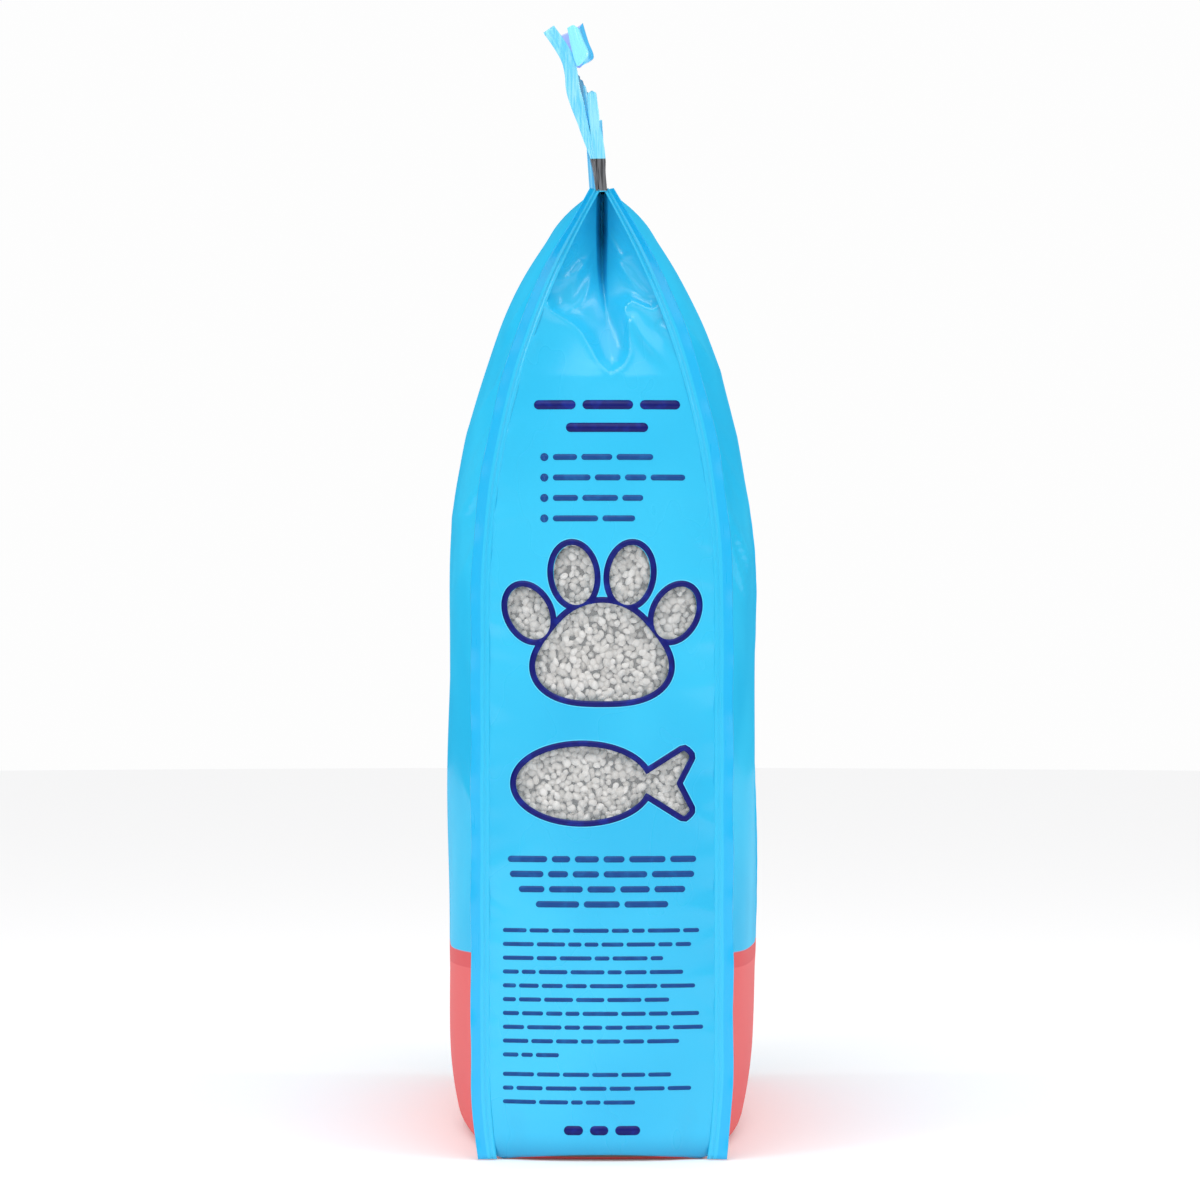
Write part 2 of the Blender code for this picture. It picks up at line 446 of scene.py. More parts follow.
def ease(value: object, low: float, high: float) -> Array:
    """0 below low, 1 above high and a smooth step in between."""
    share = np.clip((to_array(value) - low) / (high - low), 0, 1)
    return share * share * (3 - 2 * share)


def grid_quads(rows: int, columns: int) -> list[tuple[int, int, int, int]]:
    """Quads of a grid whose points run along each row; they face columns x rows."""
    quads = []
    for i in range(rows - 1):
        for j in range(columns - 1):
            a = i * columns + j
            quads.append((a, a + 1, a + columns + 1, a + columns))
    return quads


def mesh_object(name: str, points: Array, faces: Sequence, material: bpy.types.Material) -> bpy.types.Object:
    """A smooth-shaded mesh object at the origin.

    Args:
        name: The piece's name.
        points: Its corners, one row each.
        faces: Its faces, as corner numbers.
        material: Its finish.

    Returns:
        The linked object.
    """
    mesh = bpy.data.meshes.new(name)
    mesh.from_pydata(to_array(points).tolist(), [], [tuple(int(i) for i in face) for face in faces])
    mesh.materials.append(material)
    mesh.shade_smooth()
    made = bpy.data.objects.new(name, mesh)
    bpy.context.scene.collection.objects.link(made)
    return made


def carry(obj: bpy.types.Object, name: str, values: Array) -> None:
    """Stores one number at each of a mesh's points."""
    layer = obj.data.attributes.new(name, "FLOAT", "POINT")
    layer.data.foreach_set("value", to_array(values).ravel().astype(np.float32))


def bake_modifiers(obj: bpy.types.Object) -> bpy.types.Object:
    """Replaces an object's mesh by its evaluated one and drops its modifiers."""
    graph = bpy.context.evaluated_depsgraph_get()
    mesh = bpy.data.meshes.new_from_object(obj.evaluated_get(graph))
    obj.modifiers.clear()
    obj.data = mesh
    mesh.name = obj.name
    return obj


def give_thickness(obj: bpy.types.Object, thickness: float) -> bpy.types.Object:
    """Turns a sheet into a closed film that grows away from its face."""
    wall = obj.modifiers.new("wall", "SOLIDIFY")
    wall.thickness = thickness
    wall.offset = -1
    wall.use_rim = True
    return bake_modifiers(obj)


def smooth_curve(points: Sequence[Sequence[float]], at: Array) -> Array:
    """Reads a smooth curve through a few points.

    Args:
        points: Rows of (position, value, value, ...), with positions in rising order.
        at: The positions that are wanted.

    Returns:
        One column for each value, by monotone cubic steps, which never overshoot.
    """
    rows = to_array(points)
    x, ys = rows[:, 0], rows[:, 1:]
    slopes = np.diff(ys, axis=0) / np.diff(x)[:, None]
    tangents = np.vstack([slopes[:1], (slopes[:-1] + slopes[1:]) / 2, slopes[-1:]])
    tangents[1:-1][slopes[:-1] * slopes[1:] <= 0] = 0
    spot = np.clip(np.searchsorted(x, at) - 1, 0, len(x) - 2)
    span = (x[spot + 1] - x[spot])[:, None]
    t = np.clip((at - x[spot]) / span[:, 0], 0, 1)[:, None]
    return (
        (2 * t**3 - 3 * t**2 + 1) * ys[spot]
        + (t**3 - 2 * t**2 + t) * span * tangents[spot]
        + (3 * t**2 - 2 * t**3) * ys[spot + 1]
        + (t**3 - t**2) * span * tangents[spot + 1]
    )


def inside(outline: Array, points: Array) -> Array:
    """Which points lie inside a closed outline, by counting crossings."""
    hit = np.zeros(len(points), bool)
    x, y = points[:, 0], points[:, 1]
    for (x0, y0), (x1, y1) in zip(outline, np.roll(outline, -1, axis=0)):
        if y0 != y1:
            crosses = (y0 > y) != (y1 > y)
            hit ^= crosses & (x < (x1 - x0) * (y - y0) / (y1 - y0) + x0)
    return hit


def distance_to(line: Array, points: Array) -> tuple[Array, Array]:
    """How far points lie from a polyline.

    Args:
        line: The polyline's points.
        points: The points to measure from.

    Returns:
        Each point's distance, and its nearest place as a share of the line's length.
    """
    lengths = np.linalg.norm(np.diff(line, axis=0), axis=1)
    run = np.concatenate([[0], np.cumsum(lengths)])
    best = np.full(len(points), np.inf)
    share = np.zeros(len(points))
    for a, b, start, length in zip(line, line[1:], run, lengths):
        t = np.clip(((points - a) @ (b - a)) / length**2, 0, 1)
        away = np.linalg.norm(points - a - t[:, None] * (b - a), axis=1)
        closer = away < best
        best[closer] = away[closer]
        share[closer] = (start + t[closer] * length) / run[-1]
    return best, share


# ------------------------------------------------------------- the bag's form


@dataclass(frozen=True)
class Crease:
    """A fold line in a film's own plane, whose crest stands out, or in for a negative height."""

    line: tuple[Point2, ...]
    height: float
    width: float
    sharpness: float = 1.6
    fade_start: float = 0.12
    fade_end: float = 0.35

    def raised(self, points: Array) -> Array:
        """How far the crease lifts each of the film's points."""
        rough = to_array(self.line)
        steps = np.linspace(0, 1, len(rough))
        at = np.linspace(0, 1, 6 * (len(rough) - 1) + 1)
        line = smooth_curve(np.column_stack([steps, rough]), at)
        reach = self.width * 3
        near = np.all((points > line.min(0) - reach) & (points < line.max(0) + reach), axis=1)
        lift = np.zeros(len(points))
        if near.any():
            away, share = distance_to(line, points[near])
            shape = np.exp(-((away / self.width) ** self.sharpness))
            ends = ease(share, 0, self.fade_start) * ease(-share, -1, self.fade_end - 1)
            lift[near] = self.height * shape * (0.15 + 0.85 * ends)
        return lift


def puckers(seed: int, low: float, high: float, spacing: float, reach: tuple[float, float], height: float) -> list[Crease]:
    """Short creases that run inwards from a seam on a panel whose seam lies at 0 and whose inside is at +.

    Args:
        seed: Fixes the random draws.
        low: The lowest crease's height.
        high: The highest crease's height.
        spacing: The mean space between two creases.
        reach: The shortest and the longest crease.
        height: The mean height of a crest.

    Returns:
        The creases, from the lowest up.
    """
    draw = np.random.default_rng(seed)
    made, z = [], low
    while z < high:
        length = draw.uniform(*reach)
        slope = draw.normal(0, 0.35)
        tall = height * draw.uniform(0.5, 1.5) * (1 if draw.random() < 0.68 else -0.8)
        line = ((0.0, z), (length * 0.5, z + slope * length * 0.5 + draw.normal(0, 0.8 * MM)), (length, z + slope * length))
        made.append(Crease(line, tall, draw.uniform(2.2, 4.2) * MM, 1.3, 0.02, 0.9))
        z += spacing * draw.uniform(0.55, 1.5)
    return made


@dataclass(frozen=True)
class BagForm:
    """The filled bag's outer surface, from a few driving sizes."""

    panel_width: float = 345 * MM
    gusset_width: float = 117 * MM
    close_height: float = 486 * MM
    top_height: float = 485.9 * MM
    shut_gap: float = 5.6 * MM
    panel_bulge: float = 24.5 * MM
    gusset_bulge: float = 7 * MM
    shoulder_height: float = 270 * MM
    shoulder_power: float = 2.2
    base_radius: float = 11 * MM
    root_inset: float = 3.5 * MM
    root_height: float = 50 * MM
    bulge_inset: float = 5.5 * MM
    bulge_height: float = 100 * MM
    dent_depth: float = 0.9 * MM
    gusset_creases: tuple[Crease, ...] = ()
    rear_creases: tuple[Crease, ...] = ()
    panel_creases: dict = field(default_factory=dict)
    bib: Array = field(default_factory=lambda: np.zeros((0, 2)))
    bib_depth: float = 3.8 * MM
    bib_slope: float = 9 * MM

    @property
    def half_y(self) -> float:
        """Distance of the corner fins from the bag's middle along Y."""
        return self.panel_width / 2

    @staticmethod
    def near_base(z: Array, height: float) -> Array:
        """1 on the floor, easing to 0 at a height."""
        return np.clip(1 - z / height, 0, 1) ** 2

    def corner_x(self, z: Array) -> Array:
        """Distance of a corner fin's root from the middle plane at height z."""
        z = to_array(z)
        half = self.gusset_width / 2 - self.root_inset * self.near_base(z, self.root_height)
        t = np.clip((z - self.shoulder_height) / (self.close_height - self.shoulder_height), 0, 1)
        shut = self.shut_gap / 2
        return shut + (half - shut) * (1 - t**self.shoulder_power)

    def base_draw(self, z: Array) -> Array:
        """How far the base's rounded edge draws the walls in at height z."""
        drop = np.clip(self.base_radius - to_array(z), 0, self.base_radius)
        return 0.5 * (self.base_radius - np.sqrt(self.base_radius**2 - drop**2))

    def tuck(self, x: Array, z: Array, lean: float) -> Array:
        """Depth of the gusset's tuck, whose tip lies lean off the middle.

        Args:
            x: Sideways places on the gusset.
            z: Heights on the gusset.
            lean: How far the tip of the tuck lies off the middle plane.

        Returns:
            How far the film is folded in.
        """
        broad = smooth_curve(
            ((0.392, 0.0), (0.405, 0.0030), (0.420, 0.0065), (0.435, 0.0105), (0.450, 0.0140), (0.466, 0.0150),
             (0.478, 0.0110), (0.486, 0.0060)),
            z,
        )[:, 0]
        slit = smooth_curve(
            ((0.425, 0.0015, 0.0), (0.440, 0.0022, 0.0040), (0.455, 0.0028, 0.0110), (0.470, 0.0030, 0.0180),
             (0.486, 0.0026, 0.0200)),
            z,
        )
        middle = lean * ease(-z, -0.450, -0.400)
        away = np.abs(x - middle)
        wide = broad * np.clip(1 - (away / self.corner_x(z)) ** 1.12, 0, 1)
        narrow = slit[:, 1] * np.clip(1 - away / np.minimum(slit[:, 0], self.corner_x(z)), 0, 1) ** 1.2
        return wide + narrow

    def gusset(self, side: Side, u: Array, z: Array, lift: float = 0.0) -> Array:
        """Points on a gusset.

        Args:
            side: Which gusset.
            u: Places across it, from -1 to 1, rightwards as seen from outside.
            z: Heights.
            lift: How far outside the film the points lie.

        Returns:
            The points, one row each.
        """
        u, z = to_array(u).ravel(), to_array(z).ravel()
        drawn = self.base_draw(z)
        x = u * (self.corner_x(z) - drawn)
        swell = self.gusset_bulge * (1 - ease(z, 0.342, 0.422))
        out = swell * (1 - u * u)
        front = side is Side.MINUS
        out = out - self.tuck(x, z, 4.5 * MM if front else -3 * MM)
        flat = np.column_stack([u * self.gusset_width / 2, z])
        spot = np.column_stack([x, z])
        for crease in self.gusset_creases if front else self.rear_creases:
            out = out + crease.raised(spot)
        if front and len(self.bib):
            away, _ = distance_to(np.vstack([self.bib, self.bib[:1]]), spot)
            left = 1 - np.clip(away * inside(self.bib, spot) / self.bib_slope, 0, 1)
            out = out - self.bib_depth * (1 - left**2)
        for edge, seed in ((-1, 11), (1, 12)):
            from_seam = np.column_stack([self.gusset_width / 2 - edge * flat[:, 0], z])
            for crease in puckers(seed + (0 if front else 40), 0.045, 0.365, 15 * MM, (9 * MM, 26 * MM), 0.42 * MM):
                out = out + crease.raised(from_seam)
        out = out - 2.0 * MM * np.exp(-(((np.abs(u) - 0.80) / 0.11) ** 2) - ((z - 0.013) / 0.014) ** 2)
        held = ease(-np.abs(u), -1.0, -0.95)
        out = out * held if lift == 0 else out * held + lift
        y = side.value * (self.half_y - drawn + out)
        return np.column_stack([-side.value * x, y, z])

    def panel_swell(self, z: Array) -> Array:
        """How far a broad panel stands out at its middle at height z."""
        z = to_array(z)
        shares = (
            (0.360, 1.0), (0.400, 1.0), (0.420, 0.97), (0.435, 0.91), (0.450, 0.83), (0.466, 0.72), (0.476, 0.66),
            (0.4815, 0.52), (0.4840, 0.36), (0.4855, 0.14), (self.close_height, 0.0),
        )
        swell = self.panel_bulge - self.bulge_inset * self.near_base(z, self.bulge_height)
        return swell * smooth_curve(shares, z)[:, 0].reshape(z.shape)

    def panel(self, side: Side, v: Array, z: Array, lift: float = 0.0) -> Array:
        """Points on a broad panel.

        Args:
            side: Which panel.
            v: Places across it, from -1 to 1, rightwards as seen from outside.
            z: Heights.
            lift: How far outside the film the points lie.

        Returns:
            The points, one row each.
        """
        v, z = to_array(v).ravel(), to_array(z).ravel()
        drawn = self.base_draw(z)
        swell = self.panel_swell(z)
        power = 2 + 1.3 * ease(z, 0.40, 0.46)
        out = swell * (1 - np.abs(v) ** power)
        for end, creases in self.panel_creases.get(side, {}).items():
            from_seam = np.column_stack([(1 - end * side.value * v) * self.half_y, z])
            for crease in creases:
                out = out + crease.raised(from_seam)
        y = v * self.half_y
        dents = np.sin(31 * y + 19 * z + side.value) * np.sin(23 * z - 13 * y + 2) + 0.6 * np.sin(52 * y - 37 * z)
        out = out + self.dent_depth * dents * (1 - v * v) * (1 - ease(z, 0.43, 0.48))
        held = ease(-np.abs(v), -1.0, -0.985)
        reach = self.corner_x(z) - drawn + out * held + lift
        y = side.value * v * (self.half_y - drawn)
        return np.column_stack([side.value * reach, y, z])


# ------------------------------------------------------------ Geometry Nodes


class NodeRecipe:
    """A Geometry Nodes tree that is built in the script, with named inputs."""

    def __init__(self, name: str) -> None:
        """Makes an empty tree that takes and gives a geometry."""
        self.tree = bpy.data.node_groups.new(name, "GeometryNodeTree")
        self.tree.interface.new_socket("Geometry", in_out="INPUT", socket_type="NodeSocketGeometry")
        self.tree.interface.new_socket("Geometry", in_out="OUTPUT", socket_type="NodeSocketGeometry")
        self.entry = self.tree.nodes.new("NodeGroupInput")
        self.exit = self.tree.nodes.new("NodeGroupOutput")

    def takes(self, name: str, kind: str) -> str:
        """Adds a named input of a kind such as Float, Int, Object, Collection or Material."""
        self.tree.interface.new_socket(name, in_out="INPUT", socket_type=f"NodeSocket{kind}")
        return name

    def given(self, name: str) -> bpy.types.NodeSocket:
        """The group input's socket of that name."""
        return self.entry.outputs[name]

    def node(self, kind: str, settings: dict, inputs: dict, output: Union[int, str] = 0) -> bpy.types.NodeSocket:
        """Adds a node; inputs are values or sockets, by name or number.

        Returns:
            The wanted output socket.
        """
        made = self.tree.nodes.new(kind)
        for key, value in settings.items():
            setattr(made, key, value)
        for key, value in inputs.items():
            if isinstance(value, bpy.types.NodeSocket):
                self.tree.links.new(value, made.inputs[key])
            else:
                made.inputs[key].default_value = value
        return made.outputs[output]

    def maths(self, operation: str, *operands: object) -> bpy.types.NodeSocket:
        """Adds a Math node."""
        return self.node("ShaderNodeMath", {"operation": operation}, dict(enumerate(operands)))

    def finish(self, geometry: bpy.types.NodeSocket) -> bpy.types.GeometryNodeTree:
        """Ends the tree in Realize Instances and Set Material, and gives it back."""
        real = self.node("GeometryNodeRealizeInstances", {}, {0: geometry})
        dressed = self.node("GeometryNodeSetMaterial", {}, {"Geometry": real, "Material": self.given("Material")})
        self.tree.links.new(dressed, self.exit.inputs[0])
        return self.tree


def run_recipe(obj: bpy.types.Object, tree: bpy.types.GeometryNodeTree, inputs: dict) -> bpy.types.Object:
    """Runs a tree on an object and keeps the plain mesh that comes out.

    Args:
        obj: The object whose mesh goes in.
        tree: The Geometry Nodes tree.
        inputs: The tree's named inputs.

    Returns:
        The same object, with its new mesh and no modifier.
    """
    modifier = obj.modifiers.new(tree.name, "NODES")
    modifier.node_group = tree
    for item in tree.interface.items_tree:
        if item.in_out == "INPUT" and item.name in inputs:
            modifier[item.identifier] = inputs[item.name]
    return bake_modifiers(obj)


def rib_recipe() -> bpy.types.GeometryNodeTree:
    """Raises ribs along a sealed strip, over the share of its width that is nearest 0 in its across attribute."""
    recipe = NodeRecipe("sealed_ribs")
    for name, kind in (("Rib Height", "Float"), ("Rib Count", "Float"), ("Rib Share", "Float"), ("Material", "Material")):
        recipe.takes(name, kind)
    across = recipe.node("GeometryNodeInputNamedAttribute", {"data_type": "FLOAT"}, {"Name": "across"})
    share = recipe.maths("DIVIDE", across, recipe.given("Rib Share"))
    turns = recipe.maths("MULTIPLY", recipe.maths("MULTIPLY", share, recipe.given("Rib Count")), 2 * math.pi)
    wave = recipe.maths("MULTIPLY_ADD", recipe.maths("COSINE", turns), -0.5, 0.5)
    within = recipe.maths("LESS_THAN", share, 1.0)
    height = recipe.maths("MULTIPLY", recipe.maths("MULTIPLY", wave, within), recipe.given("Rib Height"))
    normal = recipe.node("GeometryNodeInputNormal", {}, {})
    offset = recipe.node("ShaderNodeVectorMath", {"operation": "SCALE"}, {0: normal, "Scale": height})
    moved = recipe.node("GeometryNodeSetPosition", {}, {"Geometry": recipe.given("Geometry"), "Offset": offset})
    return recipe.finish(moved)


def crumb_recipe() -> bpy.types.GeometryNodeTree:
    """Heaps crumbs on a patch of bed: spaced points, each with a shape, a turn, a size, a depth and a tone."""
    recipe = NodeRecipe("heaped_crumbs")
    for name, kind in (
        ("Spacing", "Float"), ("Depth", "Float"), ("Least Size", "Float"), ("Most Size", "Float"),
        ("Seed", "Int"), ("Shapes", "Collection"), ("Material", "Material"),
    ):
        recipe.takes(name, kind)
    seed = recipe.given("Seed")
    points = recipe.node(
        "GeometryNodeDistributePointsOnFaces",
        {"distribute_method": "POISSON"},
        {"Mesh": recipe.given("Geometry"), "Distance Min": recipe.given("Spacing"), "Density Max": 4e5, "Seed": seed},
    )
    full_turn = 2 * math.pi

    def drawn(kind: str, low: object, high: object, salt: int) -> bpy.types.NodeSocket:
        """A random value for each point."""
        own_seed = recipe.maths("ADD", seed, salt)
        slot = {"FLOAT": (2, 3, 1), "FLOAT_VECTOR": (0, 1, 0)}[kind]
        return recipe.node(
            "FunctionNodeRandomValue", {"data_type": kind}, {slot[0]: low, slot[1]: high, "Seed": own_seed}, slot[2]
        )

    turn = drawn("FLOAT_VECTOR", (0, 0, 0), (full_turn, full_turn, full_turn), 1)
    size = drawn("FLOAT", recipe.given("Least Size"), recipe.given("Most Size"), 2)
    shapes = recipe.node(
        "GeometryNodeCollectionInfo", {"transform_space": "ORIGINAL"},
        {"Collection": recipe.given("Shapes"), "Separate Children": True, "Reset Children": True},
    )
    sunk = recipe.maths("MULTIPLY", drawn("FLOAT", -1.0, 0.0, 3), recipe.given("Depth"))
    heap = recipe.node(
        "GeometryNodeInstanceOnPoints", {},
        {"Points": points, "Instance": shapes, "Pick Instance": True, "Rotation": turn, "Scale": size},
    )
    inwards = recipe.node("ShaderNodeCombineXYZ", {}, {"Y": recipe.maths("MULTIPLY", sunk, -1.0)})
    placed = recipe.node(
        "GeometryNodeTranslateInstances", {}, {"Instances": heap, "Translation": inwards, "Local Space": False}
    )
    toned = recipe.node(
        "GeometryNodeStoreNamedAttribute", {"data_type": "FLOAT", "domain": "INSTANCE"},
        {"Geometry": placed, "Name": "tint", "Value": drawn("FLOAT", 0.0, 1.0, 4)},
    )
    return recipe.finish(toned)


# ---------------------------------------------------------------- the window


@dataclass(frozen=True)
class WindowArt:
    """The see-through paw print and fish, as outlines in x and z on the -Y gusset."""

    centre_height: float = 238.5 * MM
    paw_rise: float = 13.5 * MM
    pad: Point2 = (32.5 * MM, 24.5 * MM)
    pad_lobes: float = 0.085
    toes: tuple = ((14.0, 40.5, 10.2, 15.0, 8), (36.5, 21.5, 9.7, 14.0, 28))
    fish_drop: float = 50 * MM
    fish_body: Point2 = (33.0 * MM, 18.5 * MM)
    fish_shift: float = -10 * MM
    fish_tail: Point2 = (44.0 * MM, 16.5 * MM)
    tail_root: float = 4.5 * MM
    tail_notch: float = 7 * MM
    tail_blunt: float = 3 * MM
    rim: float = 3.0 * MM
    halo: float = 0.55 * MM
    step: float = 0.9 * MM

    def even(self, outline: Array) -> Array:
        """Spreads an outline's points evenly, a step apart."""
        closed = np.vstack([outline, outline[:1]])
        run = np.concatenate([[0], np.cumsum(np.linalg.norm(np.diff(closed, axis=0), axis=1))])
        at = np.linspace(0, run[-1], int(run[-1] / self.step) + 1)[:-1]
        return np.column_stack([np.interp(at, run, closed[:, k]) for k in range(2)])

    @staticmethod
    def softened(outline: Array, rounds: int = 3) -> Array:
        """Cuts an outline's corners, so that they turn round."""
        for _ in range(rounds):
            following = np.roll(outline, -1, axis=0)
            cut = np.stack([outline * 0.75 + following * 0.25, outline * 0.25 + following * 0.75], axis=1)
            outline = cut.reshape(-1, 2)
        return outline

    def oval(self, centre: Point2, half: Point2, lean: float, lobes: float = 0.0) -> Array:
        """An oval, leaning by an angle, whose outline may swell in three lobes."""
        a = np.linspace(0, 2 * math.pi, 240, endpoint=False)
        r = 1 - lobes * np.sin(3 * a)
        x, y = half[0] * r * np.cos(a), half[1] * r * np.sin(a)
        c, s = math.cos(lean), math.sin(lean)
        return np.column_stack([centre[0] + x * c - y * s, centre[1] + x * s + y * c])

    def fish(self) -> Array:
        """The fish: its body from the tail's root round the nose and back, then the tail."""
        start = math.asin(self.tail_root / self.fish_body[1])
        a = np.linspace(start, 2 * math.pi - start, 60)
        body = np.column_stack([self.fish_shift + self.fish_body[0] * np.cos(a), self.fish_body[1] * np.sin(a)])
        reach, half = self.fish_tail
        blunt = self.tail_blunt
        tail = [(reach - blunt, -half), (reach, blunt - half), (reach - self.tail_notch, 0.0)]
        tail += [(reach, half - blunt), (reach - blunt, half)]
        outline = self.softened(self.even(np.vstack([body, tail])), 1)
        return outline + (0, self.centre_height - self.fish_drop)

    def shapes(self) -> list[Array]:
        """Every opening's outline."""
        rise = self.centre_height + self.paw_rise
        found = [self.oval((0, rise), self.pad, 0, self.pad_lobes)]
        for side in (-1, 1):
            for x, up, half_width, half_height, lean in self.toes:
                centre = (side * x * MM, rise + up * MM)
                found.append(self.oval(centre, (half_width * MM, half_height * MM), math.radians(-side * lean)))
        return [self.even(outline) for outline in (*found, self.fish())]

    def grown(self, outline: Array, distance: float) -> Array:
        """An outline moved outwards, without the loops that inner corners would leave."""
        along = np.roll(outline, -1, axis=0) - np.roll(outline, 1, axis=0)
        normal = np.column_stack([along[:, 1], -along[:, 0]]) / np.linalg.norm(along, axis=1)[:, None]
        moved = outline + normal * distance
        away, _ = distance_to(np.vstack([outline, outline[:1]]), moved)
        return moved[away > distance * 0.985]


def triangulate(points: Array, outlines: Iterable[Array], keep: Callable[[Array], Array]) -> tuple[Array, Array]:
    """Fills a plane region with triangles that follow some outlines.

    Args:
        points: Free points of the region.
        outlines: Closed outlines whose edges the triangles follow.
        keep: Says which triangle middles belong to the region.

    Returns:
        The corners that are used and the triangles.
    """
    corners, edges = [points], []
    count = len(points)
    for outline in outlines:
        index = np.arange(len(outline)) + count
        edges += list(zip(index.tolist(), np.roll(index, -1).tolist()))
        corners.append(outline)
        count += len(outline)
    flat = [Vector(p) for p in np.vstack(corners).tolist()]
    found, _, faces, *_ = delaunay_2d_cdt(flat, edges, [], 0, 1e-7, False)
    spots = np.array([tuple(p) for p in found])
    triangles = np.array(faces)
    a, b, c = (spots[triangles[:, k]] for k in range(3))
    turn = (b[:, 0] - a[:, 0]) * (c[:, 1] - a[:, 1]) - (b[:, 1] - a[:, 1]) * (c[:, 0] - a[:, 0])
    triangles[turn < 0] = triangles[turn < 0][:, ::-1]
    kept = triangles[keep((a + b + c) / 3) & (np.abs(turn) > 1e-12)]
    used, numbers = np.unique(kept, return_inverse=True)
    return spots[used], numbers.reshape(kept.shape)


# ------------------------------------------------------------- sub-assemblies


@dataclass
class SubAssembly:
    """Something built of pieces that all ride on the bag's one body."""

    form: BagForm

    def finish_piece(self, obj: bpy.types.Object, slot: str, *stands_for: str) -> bpy.types.Object:
        """Fixes a piece to the body, hides the imported solids that it stands for and logs its face count."""
        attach(obj, BODY)
        if stands_for:
            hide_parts(*stands_for)
        LOG.info("%s: %d faces", obj.name, len(obj.data.polygons))
        return obj


def film_levels(form: BagForm, fine: float) -> Array:
    """Heights of a film's grid, closest together at the base and in the shoulders."""
    parts = (
        np.arange(0, 18 * MM, fine * 1.1),
        np.arange(18 * MM, 372 * MM, fine * 2.1),
        np.arange(372 * MM, 481 * MM, fine),
        np.arange(481 * MM, form.top_height, 0.45 * MM),
    )
    return np.concatenate([*parts, [form.top_height]])


